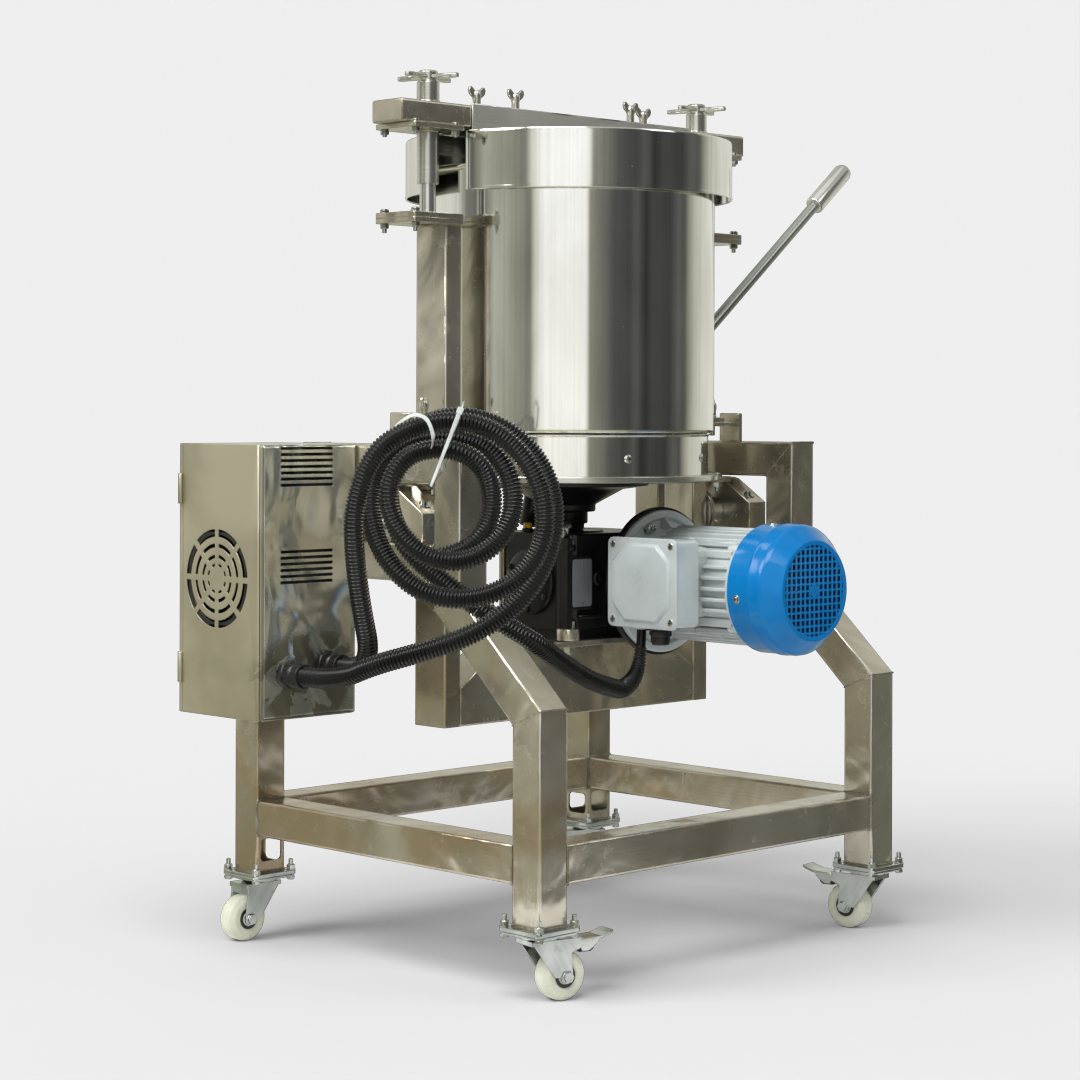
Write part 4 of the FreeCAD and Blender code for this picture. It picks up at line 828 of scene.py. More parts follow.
hose("control_conduit", np.vstack([feed_a, turns_a, lead[:1]]), "frame", ["conduit_feed_a"])
hose("spare_conduit", np.vstack([feed_b, turns_b]), "frame", ["conduit_feed_b", "conduit_coil"])
motor_conduit = hose("motor_conduit", lead, None, ["motor_lead"], 330)
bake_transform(motor_conduit)

# Side frames and base rails
FRAME_PATH = [(-LEG_Y, 95), (-LEG_Y, 357), (-132, 493), (-132, 671), (132, 671), (132, 493), (LEG_Y, 357),
              (LEG_Y, 95)]
ACROSS_TUBE, INTO_TUBE, UP_TUBE = np.eye(3) * TUBE / 2


def cut_out(made, name, shape):
    """The piece less another shape, by a Boolean that is then applied."""
    cutter = put(name, shape.mesh(name))
    boolean = made.modifiers.new("cut", "BOOLEAN")
    boolean.operation = "DIFFERENCE"
    boolean.solver = "EXACT"
    boolean.object = cutter
    bpy.context.view_layer.update()
    result = bpy.data.meshes.new_from_object(made.evaluated_get(bpy.context.evaluated_depsgraph_get()))
    made.modifiers.clear()
    made.data = result
    bpy.data.objects.remove(cutter)


def side_frame(s, name):
    """Two legs, two posts and a beam in one run of mitred tube, the cross beam and the lock bracket."""
    x = s * LEG_X
    nodes = [vec([x, y, z]) for y, z in FRAME_PATH]
    steps = [unit(b - a) for a, b in zip(nodes[:-1], nodes[1:])]
    tubes = Shape()
    beads = Shape()
    for k, (a, b) in enumerate(zip(nodes[:-1], nodes[1:])):
        low = steps[k - 1] + steps[k] if k else None
        if k == len(steps) - 1:
            # The leg with its window is hollow and is a piece of its own
            leg, core, window, inward = Shape(), Shape(), Shape(), Shape()
            tube(leg, a, b, X, low)
            tube(core, a - [0, 0, 30], b - [0, 0, 3], X, width=TUBE - 4, height=TUBE - 4)
            slab(window, rectangle(37, 32, 7), -60, 60, (x, LEG_Y, 126), Y, 0, X)
            slab(inward, rectangle(37, 32, 7), 0, 60, (x, LEG_Y, 122), -s * X, 0, Y)
            made = leg.piece(name + "_leg", "frame", "stainless")
            cut_out(made, "core", core)
            cut_out(made, "window", window)
            cut_out(made, "inward_window", inward)
            break
        high = steps[k] + steps[k + 1]
        tube(tubes, a, b, X, low, high)
        normal = unit(high)
        square_weld(beads, b, ACROSS_TUBE, unit(np.cross(normal, ACROSS_TUBE)) * TUBE / 2 / (steps[k] @ normal), 0.8)
    tube(tubes, (x, -107, BEAM_Z), (x, 107, BEAM_Z), X)
    for y in (-107, 107):
        square_weld(beads, (x, y, BEAM_Z), ACROSS_TUBE, UP_TUBE, 1.7)
    for y in (-LEG_Y, LEG_Y):
        square_weld(beads, (x, y, 95), ACROSS_TUBE, INTO_TUBE, 2.0)
    # The lock bracket: an upright on the beam and its notched shelf
    for x0, x1, y1, z0, z1, edge in ((328, 334, 2, 696, 738, 1.0), (294.8, 328, 0, 719, 725, 1.0),
                                     (280, 285.2, 0, 719, 725, 1.0), (285.2, 294.8, -20.7, 719.2, 724.8, 0.4)):
        brick(tubes, (s * x0, -36, z0), (s * x1, y1, z1), edge)
    for x0 in (328, 334):
        weld(beads, (s * x0, -36, 696), (s * x0, 2, 696), 2.0)
    tubes.piece(name + "_tubes", "frame", "stainless", name)
    beads.piece(name + "_welds", "frame", "stainless")


def base_rails():
    """Four rails between the legs, with a bead round each end."""
    rails = Shape()
    beads = Shape()
    for s in SIDES:
        tube(rails, (-306, s * LEG_Y, RAIL_Z), (306, s * LEG_Y, RAIL_Z), Z)
        tube(rails, (s * LEG_X, -255, RAIL_Z), (s * LEG_X, 255, RAIL_Z), Z)
        for t in SIDES:
            square_weld(beads, (t * 306, s * LEG_Y, RAIL_Z), s * INTO_TUBE, UP_TUBE, 1.5)
            square_weld(beads, (t * LEG_X, s * 255, RAIL_Z), t * ACROSS_TUBE, UP_TUBE, 1.5)
    rails.piece("base_rail_tubes", "frame", "stainless", "base_rails")
    beads.piece("base_rail_welds", "frame", "stainless")


for s, name in LEFT_RIGHT:
    side_frame(s, name + "_side_frame")
base_rails()


def bearings():
    """Bearing blocks on the beams, and the trunnion shafts of the yoke."""
    blocks = Shape()
    shafts = Shape("stainless_turned")
    outline = [(-74, 567), (74, 567), (74, 606), (22, 640), (14, 642), (-14, 642), (-22, 640), (-74, 606)]
    shaft = [(0, 264), (40, 264), (40, 272), (23, 272), (23, 307.7), (18, 307.7), (18, 345.3), (22, 345.3),
             (22, 349.3), (0, 349.3)]
    for s in SIDES:
        slab(blocks, outline, 0, 37, (308 if s > 0 else -345, 0, 0), X, 1.6, Y, finish="stainless_plain")
        for y in (-56, 56):
            nut(blocks, (s * 326, y, 606), Z, 16, 9)
            stud(blocks, (s * 326, y, 615), Z, 5, 7)
        lathe(blocks, band(19, 26, 0, 3), (s * 345, 0, TRUNNION_Z), X * s, 0.4, 48, "steel_plain")
        brick(blocks, (s * 309, -70, 566), (s * 344, 70, 568.5), 0.9, finish="weld")
        lathe(shafts, shaft, (0, 0, TRUNNION_Z), X * s)
        cap_screw(shafts, (s * 349.3, 0, TRUNNION_Z), X * s, 7, 5)
        for x, radius in ((264, 40), (272, 23)):
            ring_weld(shafts, (s * x, 0, TRUNNION_Z), X * s, radius, 2.0)
    blocks.piece("bearing_block_pair", "frame", "stainless", "bearing_blocks")
    shafts.piece("trunnion_shafts", "yoke", "stainless", "trunnions")


bearings()


# Castors: side, depth, degrees of swivel and whether there is a brake
CASTORS = {"near": (-1, -1, -12.0, True), "left": (-1, 1, 180.0, False), "right": (1, -1, 96.0, True),
           "far": (1, 1, 150.0, True)}


def brake_pedal(name, at, ahead, side):
    """A pressed tongue that turns up at its tip, with two side flanges, its pin's knuckle and a black toe."""
    pedal = Shape("zinc")
    tongue = [(47, 71.6), (47, 74.4), (60, 75.6), (84, 76.6), (95, 79.6), (102, 82.4), (102, 79.8), (96, 77.2),
              (85, 74), (60, 72.6)]
    flange = [(50, 74), (84, 75), (76, 66), (66, 60), (56, 60)]
    slab(pedal, tongue, -14.5, 14.5, at, -side, 0.8, ahead, ahead)
    for s in SIDES:
        slab(pedal, flange, s * 12.5 - 1.2, s * 12.5 + 1.2, at, -side, 0.5, ahead, ahead)
    slab(pedal, [(56, 72), (76, 72), (77, 61), (72, 57.5), (56, 58)], -8, 8, at, -side, 1.2, ahead,
         finish="black_plastic")
    lathe(pedal, band(2.6, 5, -16, 16), at + 44 * ahead + [0, 0, 73], side, 0.4, 28)
    slab(pedal, [(40, 72.5), (50, 72.5), (50, 75), (44, 77)], -15, 15, at, -side, 0.5, ahead, ahead)
    pedal.piece(name + "_pedal_plate", name + "_pedal", "zinc", name + "_brake_pedal")


def castors():
    """Plates with their bolts and pivots, then each castor's wheel, fork and brake pedal."""
    plates = Shape("zinc")
    for sx, sy, _, _ in CASTORS.values():
        at = vec([sx * LEG_X, sy * LEG_Y, 0])
        brick(plates, at + [-37, -37, 89], at + [37, 37, 95], 1.0, X, 5)
        brick(plates, at + [-37, -37, 86], at + [37, 37, 89], 0.7, Y, 9)
        lathe(plates, [(5, 80.4), (24, 80.4), (26, 82.4), (26, 86), (5, 86)], at, Z, 0.7, 48)
        lathe(plates, [(0, 70), (9, 70), (12, 72), (12, 82), (0, 82)], at, Z, 0.5, 32)
        for dx, dy in CORNERS:
            spot = at + [dx * 31, dy * 31, 0]
            nut(plates, spot + [0, 0, 95], Z, 10, 7, up=(dx, 0.4 * dy, 0))
            stud(plates, spot + [0, 0, 102], Z, 3, 8)
            nut(plates, spot + [0, 0, 86], -Z, 10, 4, up=(dy, 0.3, 0))
            lathe(plates, band(3, 6.4, 95, 96), spot, Z, 0.2, 24)
    plates.piece("castor_mountings", "frame", "zinc", "castor_plates")
    half = [(4.2, 15.5), (10, 15.5), (10, 13.5), (15, 13.5), (16.5, 15.2), (24, 15.5), (31.5, 9.5)]
    for name, (sx, sy, angle, braked) in CASTORS.items():
        ahead, side = spokes(4, angle)[:2]
        at = vec([sx * LEG_X, sy * LEG_Y, 0])
        hub = at + 30 * ahead + [0, 0, 31.5]
        wheel = Shape("nylon")
        lathe(wheel, [(radius, -w) for radius, w in half] + half[::-1], hub, side, 2.0, 72)
        for s in SIDES:
            lathe(wheel, band(10.4, 14.8, 13.5, 14.3), hub, side * s, 0.2, 48, "black_plastic")
            lathe(wheel, band(4.2, 9.2, 15.1, 15.8), hub, side * s, 0.3, 40, "zinc_plain")
        wheel.piece(name + "_wheel_tyre", name + "_wheel", "white_nylon", name + "_castor_wheel")
        dressed(name + "_castor_fork", "zinc", 0.9)
        if braked:
            brake_pedal(name, at, ahead, side)


castors()


def yoke():
    """Columns and bottom member of the yoke, its lock tabs, and the head plates with the lift rods."""
    body = Shape()
    beads = Shape()
    heads = Shape()
    for s in SIDES:
        tube(body, (s * COLUMN_X, 0, 315), (s * COLUMN_X, 0, COLUMN_TOP), X, None, None, 30, 60, 3.0)
        brick(body, (s * 264, -30, 725.5), (s * 304, -2, 731.5), 0.9, X, 4)
        weld(beads, (s * 264, -30, 731.5), (s * 264, -2, 731.5), 2.0)
        for y in (-30, 30):
            weld(beads, (s * 234, y, 317), (s * 234, y, 364), 1.6)
        square_weld(beads, (s * COLUMN_X, 0, COLUMN_TOP), s * 15 * X, 30 * Y, 1.6)
        for z, along in ((COLUMN_TOP, X), (COLUMN_TOP + 7, Y)):
            brick(heads, (s * 239, -40, z), (s * 329, 40, z + 7), 0.8, along, 3)
        lathe(heads, [(0, COLUMN_TOP), (11, COLUMN_TOP), (11, 1096), (8, 1100), (0, 1100)], (s * ROD_X, 0, 0), Z,
              0.6, 40, "polished_rod")
        for dy in SIDES:
            spot = vec([s * 320, dy * 31, 0])
            nut(heads, spot + [0, 0, 1005], Z, 10, 5)
            nut(heads, spot + [0, 0, COLUMN_TOP], -Z, 10, 6)
            stud(heads, spot + [0, 0, 985], -Z, 3, 6)
            lathe(heads, band(3, 6.5, 0, 1), spot + [0, 0, 1005], Z, 0.2, 24, "zinc")
        ring_weld(heads, (s * ROD_X, 0, 1005), Z, 11.5, 1.4)
    outline = [(-234, 315), (234, 315), (234, 366), (165, 415), (-165, 415), (-234, 366)]
    slab(body, outline, -30, 30, (0, 0, 0), -Y, 2.2, X, X)
    body.piece("yoke_tubes", "yoke", "stainless", "yoke_frame")
    beads.piece("yoke_welds", "yoke", "stainless")
    heads.piece("column_head_plates", "yoke", "stainless", "column_heads")


yoke()


def drum():
    """The drum's wall with its rolled rim, its stones, and the plate and ring that carry it."""
    a = np.radians(np.linspace(-70, 250, 17))
    rim = np.column_stack([205.5 + 4 * np.cos(a), 1075 + 4 * np.sin(a)]).tolist()
    shell = Shape("polished")
    lathe(shell, [(17.5, 711), (202, 711), (203.5, 711.3), (205.6, 712.3), (206.4, 714), (206.5, 716), (206.5, 718),
                  (206.5, 1068)] + rim + [(204.5, 715), (17.5, 715)], edge=0, segments=192)
    shell.piece("drum_wall", "drum", "polished", "drum_shell")
    stone = Shape("granite")
    lathe(stone, [(17.6, 715), (204.3, 715), (204.3, 755), (202, 757), (17.6, 757)], edge=0.5, segments=96)
    stone.piece("ground_base_stone", "drum", "granite", "base_stone")
    for s, name in LEFT_RIGHT:
        roller = Shape("granite")
        lathe(roller, [(14.1, 45), (87, 45), (95, 53), (95, 157), (87, 165), (14.1, 165)], (0, 0, 852.5), X * s, 2.0,
              96)
        roller.piece(name + "_ground_roller", name + "_stone", "granite", name + "_roller")
    under = Shape()
    lathe(under, band(45.3, 212, 644, 652), edge=1.0, segments=144, finish="stainless_turned")
    lathe(under, [(196.4, 652), (198.4, 652), (198.4, 706), (201, 708), (201, 709), (196.4, 709)], edge=0.4,
          segments=144, finish="polished")
    for out in spokes(8, -111):
        pan_screw(under, out * 198.4 + [0, 0, 676], out, 6.0, 2.6, "stainless_turned")
    for s in SIDES:
        for x0, x1 in ((117, 232), (266, 300)):
            brick(under, (s * x0, -45, 636), (s * x1, 45, 644), 0.8, X)
        for y in (-39, 39):
            brick(under, (s * 230, y - 6, 636.2), (s * 268, y + 6, 643.8), 0.6, X)
        for y in (-33, 33):
            nut(under, (s * 282, y, 636), -Z, 13, 8)
            stud(under, (s * 282, y, 628), -Z, 4, 6)
            nut(under, (s * 282, y, 644), Z, 13, 5)
    under.piece("drum_under_plate", "yoke", "stainless", "drum_plate")


def half_lid(side, name, body):
    """Half of the collar: a skirt with a hemmed edge and a folded top corner, its flat top, flange and tabs."""
    reach = math.asin(31 / 231)
    start = reach if side > 0 else math.pi + reach
    arc = math.pi - 2 * reach
    lid = Shape("polished_flat")
    skirt = [(229.2, 1040), (230, 1039), (231.2, 1039.3), (231.6, 1041), (231, 1043), (231, 1045), (231, 1115.5),
             (231, 1117.5), (230.2, 1119.6), (228, 1120), (226, 1118), (229, 1117)]
    lathe(lid, skirt, (0, 0, 0), Z, 0.3, 128, "polished", X, start, arc)
    t = np.linspace(start, start + arc, 97)
    slab(lid, np.column_stack([np.cos(t), np.sin(t)]) * 229.4, 1118, 1120, (0, 0, 0), Z, 0.5, X, X,
         finish="polished")
    brick(lid, (-218, side * 31, 1118), (218, side * 33, 1156.3), 0.5, X)
    weld(lid, (-216, side * 33, 1120), (216, side * 33, 1120), 0.9)
    for x in (-50, 50):
        brick(lid, (x - 20, side * 33, 1154.3), (x + 20, side * 17, 1156.3), 0.5, X)
    lid.piece(name + "_sheet", body, "polished", name)


drum()
half_lid(-1, "motor_side_lid", "motor_lid")
half_lid(1, "operator_side_lid", "operator_lid")
dressed("drum_spindle", "steel_plain", 0.8, True)
dressed("bearing_housing", "black_casting", 2.0, True)


def head():
    """The crossbar, the sockets that slide on the lift rods, and the roller carrier."""
    bar = Shape()
    tube(bar, (-342, 0, 1139), (342, 0, 1139), Z, None, None, 30, 60, 3.0)
    sockets = Shape()
    for s in SIDES:
        brick(bar, (s * 343.5, -28.5, 1125.5), (s * 342, 28.5, 1152.5), 0.5, Y)
        brick(sockets, (s * 239, -40, SOCKET_Z), (s * 329, 40, SOCKET_Z + 7), 0.8, X, 3)
        lathe(sockets, band(11.1, 14.8, 1046, SOCKET_Z), (s * ROD_X, 0, 0), Z, 0.6, 48, "stainless_turned")
        ring_weld(sockets, (s * ROD_X, 0, SOCKET_Z), Z, 15, 1.8)
        for dx in (9, 81):
            for dy in SIDES:
                spot = vec([s * (329 - dx), dy * 31, SOCKET_Z])
                nut(sockets, spot, -Z, 10, 6)
                stud(sockets, spot + [0, 0, -6], -Z, 3, 3)
                cap_screw(sockets, spot + [0, 0, 7], Z, 4.5, 4)
    bar.piece("crossbar_tube", "head", "stainless", "crossbar")
    sockets.piece("head_socket_plates", "head", "stainless", "head_sockets")
    dressed("roller_carrier", "stainless_plain", 1.2)


def star(side, name):
    """Hub on a post with a groove, and four flat arms with rounded ends."""
    x = side * ROD_X
    made = Shape("stainless_turned")
    lathe(made, [(0, 1154.4), (16.5, 1154.4), (16.5, 1157), (15, 1157.5), (15, 1183), (12.5, 1184.5), (12.5, 1186.5),
                 (13, 1187), (13, 1196.8), (11, 1198.3), (0, 1198.3)], (x, 0, 0), Z, 0.7, 48)
    lathe(made, band(0, 5, 1106, 1155), (x, 0, 0), Z, 0.4, 24)
    arm = [(6, -7.5), (30, -6), (43, -6), (48.5, -3), (49.8, 0), (48.5, 3), (43, 6), (30, 6), (6, 7.5)]
    for out in spokes(4, 12):
        slab(made, arm, -2.6, 2.6, (x, 0, 1190), Z, 1.2, out)
    made.piece(name + "_star_grip", name + "_star", "stainless", name + "_star_handle")


def wing(x, y, seat, lift, end, name, body, node, turn=0.0):
    """A wing screw: threaded stem, turned neck, and two wings that rise from the boss like ears."""
    made = Shape("stainless_turned")
    neck = seat + 0.3
    top = neck + lift + 14
    lathe(made, [(0, neck), (6, neck), (6, neck + 2), (5.2, neck + 3), (5.2, top - 4), (6.2, top - 2),
                 (6.2, top + 5), (4.5, top + 8), (0, top + 8.5)], (x, y, 0), Z, 0.5, 32)
    stud(made, (x, y, neck), -Z, 4, neck - end, "stainless_turned", 1.25)
    ear = [(3, 0), (9, 1), (13.6, 5), (15.4, 10), (14, 14), (10.6, 15), (7.6, 12.4), (3, 8), (3, 0)]
    for s in SIDES:
        out = vec([math.cos(turn), math.sin(turn), 0]) * s
        slab(made, eased(ear, 1.6)[:-1], -1.75, 1.75, (x, y, top - 1.5), np.cross(out, Z), 0.9, out, steps=3)
    made.piece(name, body, "stainless", node)


head()
for s, name in LEFT_RIGHT:
    star(s, name)
for k, (x, lift) in enumerate(((-180, 3), (-106, 6), (127, 8), (154, 2)), 1):
    wing(x, 0, 1154, lift, 1112, "wing_grip_%d" % k, "wing_%d" % k, "wing_screw_%d" % k)
for s, name in LEFT_RIGHT:
    wing(s * 290, -16, 731.5, 0, 705, name + "_lock_grip", name + "_lock", name + "_lock_screw", 0.6)


# Gearbox and motor, about one axis
MOTOR = vec([75, 0, 502])


def mounting_finish(low, high):
    """Tie bolts and nuts are plated, bushes are rubber, the base plate is steel."""
    size = high - low
    if size[0] > 100:
        return "stainless_plain"
    return "rubber" if size[2] < 20 else "zinc"


def gearbox_trim():
    """What the gearbox carries: covers, ribs, plate, plugs and the motor's collar."""
    trim = Shape("black_casting")
    # Bearing covers on the worm's end and the wheel's side, with their screws
    for at, axis, r in (((75, 70, 502), Y, 44), ((-72, 0, 502), -X, 46), ((115, 0, 502), X, 46)):
        lathe(trim, [(0, -4), (r, -4), (r, 5), (r - 6, 8), (r * 0.5, 8), (r * 0.45, 5), (0, 5)], at, axis, 1.2)
        ex, ey, ez = axes_of(axis)
        for out in spokes(6, 30, ex, ey):
            nut(trim, at + (r - 7) * out + 6.5 * ez, ez, 8, 4, "black_casting")
    # Upright ribs on the motor side and the left side
    for x in (0, 22):
        brick(trim, (x - 2.5, -76, 440), (x + 2.5, -68, 566), 1.6, Z)
    brick(trim, (-52, -75, 452), (2, -68, 458), 1.6, X)
    # Blank plate on two pins
    brick(trim, (-69, -78.6, 470), (-31, -77.4, 536), 0.4, Z, 4, "y", "plate_grey")
    brick(trim, (-71, -77.6, 466), (-29, -70, 540), 1.2, Z)
    for z in (474.5, 531.5):
        pan_screw(trim, (-50, -78.6, z), -Y, 1.9, 1.0, "zinc_plain")
    # Round oil cap with its recess, and a pillar at the corner
    lathe(trim, [(0, 0), (10.5, 0), (10.5, 9), (9.5, 10), (6.5, 10), (6, 7.5), (0, 7.5)], (-19, -73, 508), -Y, 0.5,
          40, "black_plastic")
    slab(trim, hexagon(8), 7, 12, (-19, -73, 508), -Y, 0.5, finish="black_plastic")
    brick(trim, (-80, -79, 440), (-71, -66, 566), 2.0, Z)
    # Plugs: two yellow on top, and a slanted fitting
    for y in (-34, 30):
        lathe(trim, [(0, 0), (8, 0), (8, 4), (6, 5), (0, 5)], (-50, y, 570), Z, 0.6, 32)
        nut(trim, (-50, y, 575), Z, 11, 7, "yellow")
    lathe(trim, [(0, 0), (9, 0), (9, 9), (6, 11), (6, 26), (7.5, 27), (7.5, 33), (0, 33)], (-66, -62, 560),
          (-0.5, -0.5, 0.75), 0.7, 32, "zinc_plain")
    # Collar of the motor adapter with its bolts
    lathe(trim, [(0, 66), (76, 66), (80, 70), (80, 80), (76, 84), (70, 84), (70, 107), (0, 107)], MOTOR, -Y, 1.5, 72)
    for out in spokes(8, 22.5, X, Z):
        nut(trim, MOTOR + 74 * out - 83 * Y, -Y, 10, 6, "black_casting")
    trim.piece("gearbox_trim", "yoke", "black_casting")


def motor():
    """The motor's housing: flange, barrel, ribs, tie bolts, pads and lugs."""
    body = Shape("grey_motor")
    # Flange: rim, dished face, hub and its bell towards the barrel; then the barrel and its end shield
    for profile, edge, finish in (
            ([(12.1, 107), (100, 107), (100, 117), (98, 119), (90, 119), (88, 117), (86, 113.5), (76, 113.5),
              (74, 116), (72, 126), (64, 137), (12.1, 138)], 1.0, None),
            (band(98, 104, 104, 112), 1.0, "black_casting"),
            ([(12.1, 134), (69, 134), (74, 138), (76, 141), (76, 150), (72, 153), (12.1, 153)], 1.4, None),
            ([(12.1, 298), (78, 298), (79.6, 300), (79.6, 312), (12.1, 312)], 1.0, None),
            (band(46, 71, 145, 302), 0.5, None)):
        lathe(body, profile, MOTOR, -Y, edge, 96, finish)
    for out in spokes(8, 0, X, Z):
        slab(body, [(0, 0), (25, 0), (24, 5), (8, 20), (0, 21)], -2.2, 2.2, MOTOR + out * 68 - 113 * Y,
             np.cross(out, -Y), 0.9, out)
    for bolt, out in zip(spokes(4, 22.5, X, Z), spokes(4, 45, X, Z)):
        spot = MOTOR + 81.5 * bolt - 113.5 * Y
        lathe(body, band(5, 9, 0, 1.5), spot, -Y, 0.3, 24, "zinc_plain")
        nut(body, spot - 1.5 * Y, -Y, 13, 8)
        stud(body, spot - 9.5 * Y, -Y, 4, 5)
        for near, far in ((141, 160), (286, 304)):
            rod(body, MOTOR + out * 73 - near * Y, MOTOR + out * 73 - far * Y, 8, 2.0, 28)
        cap_screw(body, MOTOR + out * 74 - 160 * Y, -Y, 4.5, 5)
    # Broad ribs on the left and right, closer ones above and below
    for s in SIDES:
        for k in range(-2, 3):
            off = 14.6 * k
            tip = math.sqrt(80 ** 2 - (abs(off) + 5) ** 2)
            middle = MOTOR + [s * (tip + 60) / 2, -233, off]
            size = vec([(tip - 60) / 2, 68, 2.6])
            brick(body, middle - size, middle + size, 1.3, Y)
        for k in range(-4, 5):
            off = 10.5 * k
            tip = math.sqrt(80 ** 2 - (abs(off) + 2) ** 2)
            middle = MOTOR + [off, -226, s * (tip + 60) / 2]
            size = vec([2.0, 74, (tip - 60) / 2])
            brick(body, middle - size, middle + size, 1.6, Y)
        # Pads and lugs at the corners of the barrel
        for t in SIDES:
            for low, high, near, far in ((43, 60, 163, 186), (36, 66, 190, 214), (40, 52, 222, 296),
                                         (55, 63, 222, 296)):
                reach = math.sqrt(80.5 ** 2 - high ** 2)
                brick(body, MOTOR + [s * 0.55 * reach, -far, t * low], MOTOR + [s * reach, -near, t * high], 1.8, Y)
    body.piece("motor_housing", "yoke", "grey_motor", "motor_body")
    dressed("motor_rotor", "steel_plain", 0.6, True)


def cowl():
    """A stepped cover with a grille of crossing bars and four screws."""
    cover = Shape("blue_cowl")
    lathe(cover, [(87.2, 310), (87.2, 342), (87.6, 344), (88.6, 345), (88.6, 348), (88, 349.5), (88, 362), (87, 367),
                  (84, 371.5), (72, 383.5), (69, 388), (67, 390), (62, 390), (61, 389), (61, 387.5), (66, 387),
                  (82, 369.5), (85.8, 362), (85.8, 310)], MOTOR, -Y, 0.7, 128)
    for k in range(-6, 7):
        off = 9.4 * k
        reach = math.sqrt(62.5 ** 2 - off ** 2)
        brick(cover, MOTOR + [off - 1.5, -389.4, -reach], MOTOR + [off + 1.5, -387.6, reach], 0.5, Z)
        brick(cover, MOTOR + [-reach, -389.2, off - 1.5], MOTOR + [reach, -387.4, off + 1.5], 0.5, X)
    lathe(cover, band(3.2, 9, 387.2, 389.7), MOTOR, -Y, 0.5, 32)
    for out in spokes(4, 7, X, Z):
        lathe(cover, [(0, -2), (6, -2), (6, 0.3), (5, 0.9), (0, 0.9)], MOTOR + out * 87 - 326 * Y, out, 0.4, 24,
              "zinc_plain")
        pan_screw(cover, MOTOR + out * 87.6 - 326 * Y, out, 4.4, 2.6)
    cover.piece("fan_cowl_cover", "yoke", "blue_cowl", "fan_cowl")


def terminal():
    """The terminal box with its bevelled lid, and its ports below."""
    box = Shape("grey_motor")
    y = -200
    z = 509
    lid = [(54, -30), (54, 30), (30, 54), (-30, 54), (-54, 30), (-54, -30), (-30, -54), (30, -54)]
    slab(box, rectangle(126, 122, 9), 0, 4.5, (-56, y, z), -X, 1.2, -Y)
    slab(box, lid, -6, 4.3, (-60.5, y, z), -X, 5.0, -Y, steps=1)
    for dy, dz in CORNERS:
        spot = vec([-60.3, y + dy * 53, z + dz * 51])
        lathe(box, band(4, 7, -1, 0.9), spot, -X, 0.5, 32)
        pan_screw(box, spot, -X, 5.6, 1.9, "zinc_plain")
    slab(box, rectangle(121, 117, 7), 0, 43, (-55.2, y, z), X, 1.0, -Y)
    slab(box, rectangle(123, 119, 8), -1.2, 0.6, (-55.6, y, z), X, 0.3, -Y, finish="black_plastic")
    slab(box, rectangle(104, 96, 12), 0, 34, (-14, y, z), X, 2.5, -Y)
    # Ports below: the sleeve's, and a gland with its dome nut
    lathe(box, [(0, 0), (11, 0), (11, 4), (9.5, 6), (0, 6)], (-35, -177, 450.5), -Z, 0.6, 32)
    brick(box, (-50, -226, 444.5), (-20, -198, 451), 1.2, finish="black_plastic")
    nut(box, (-35, -212, 444.5), -Z, 27, 8, "black_plastic")
    lathe(box, [(0, 7), (13.4, 7), (13.4, 14), (11.5, 19.5), (7.5, 20), (7.5, 17), (0, 17)], (-35, -212, 444.5), -Z,
          0.9, 32, "black_plastic")
    box.piece("terminal_box_shell", "yoke", "grey_motor", "terminal_box")


def lever():
    """The tilt lever: boss, bar and hollow grip."""
    start = (264, 0, 836)
    along = spokes(1, 38.8, X, Z)[0]
    made = Shape("lever_steel")
    lathe(made, [(0, 0), (15, 0), (15, 9), (13.5, 10), (0, 10)], start, X, 0.6, 40, "stainless_turned")
    ring_weld(made, start, X, 15, 1.6)
    lathe(made, band(0, 8, 5, 364), start, along, 0.3, 32)
    lathe(made, [(0, 362), (12.5, 362), (14, 364), (14, 452), (12, 458), (9, 458), (9, 452), (0, 452)], start, along,
          0.9, 40, "polished_rod")
    made.piece("lever_bar", "yoke", "stainless", "tilt_lever")


dressed("gearbox", "black_casting", 2.4)
dressed("gearbox_mounting", mounting_finish, 0.9, True)
gearbox_trim()
motor()
cowl()
terminal()
lever()


def control_box():
    """The box's CAD pieces, the bead under it, and the two conduit glands."""
    for node, finish, edge, turned in (
            ("control_shell", "sheet", 0.5, False), ("fan_mount", "black_plastic", 0.8, False),
            ("cooling_fan", "black_plastic", 0.6, False), ("inverter", "grey_plastic", 2.0, False),
            ("box_door", "sheet", 0.8, False), ("main_switch", "black_plastic", 1.2, False),
            ("emergency_stop", "red_plastic", 2.0, True), ("speed_knob", "black_plastic", 1.5, True)):
        dressed(node, finish, edge, turned)
    trim = Shape()
    weld(trim, (-516, 44.2, 339), (-362, 44.2, 339), 0.8)
    trim.piece("control_box_trim", "frame", "stainless")
    glands = Shape("black_plastic")
    for x, z in ((-475, 396), (-410.5, 404.5)):
        at = vec([x, 44, z])
        nut(glands, at, -Y, 34, 9, "black_plastic", (0.3, 0, 1))
        lathe(glands, [(0, 8), (16.5, 8), (16.5, 20), (15, 22), (15, 31), (16.2, 32), (16.2, 36), (13.4, 36.5),
                       (13.4, 34), (0, 34)], at, -Y, 0.7, 48)
        for out in spokes(24, 0, X, Z):
            slab(glands, rectangle(1.8, 1.2), 11, 19, at + out * 16.3, -Y, 0.2, out)
    glands.piece("conduit_gland_set", "frame", "black_plastic", "conduit_glands")


control_box()


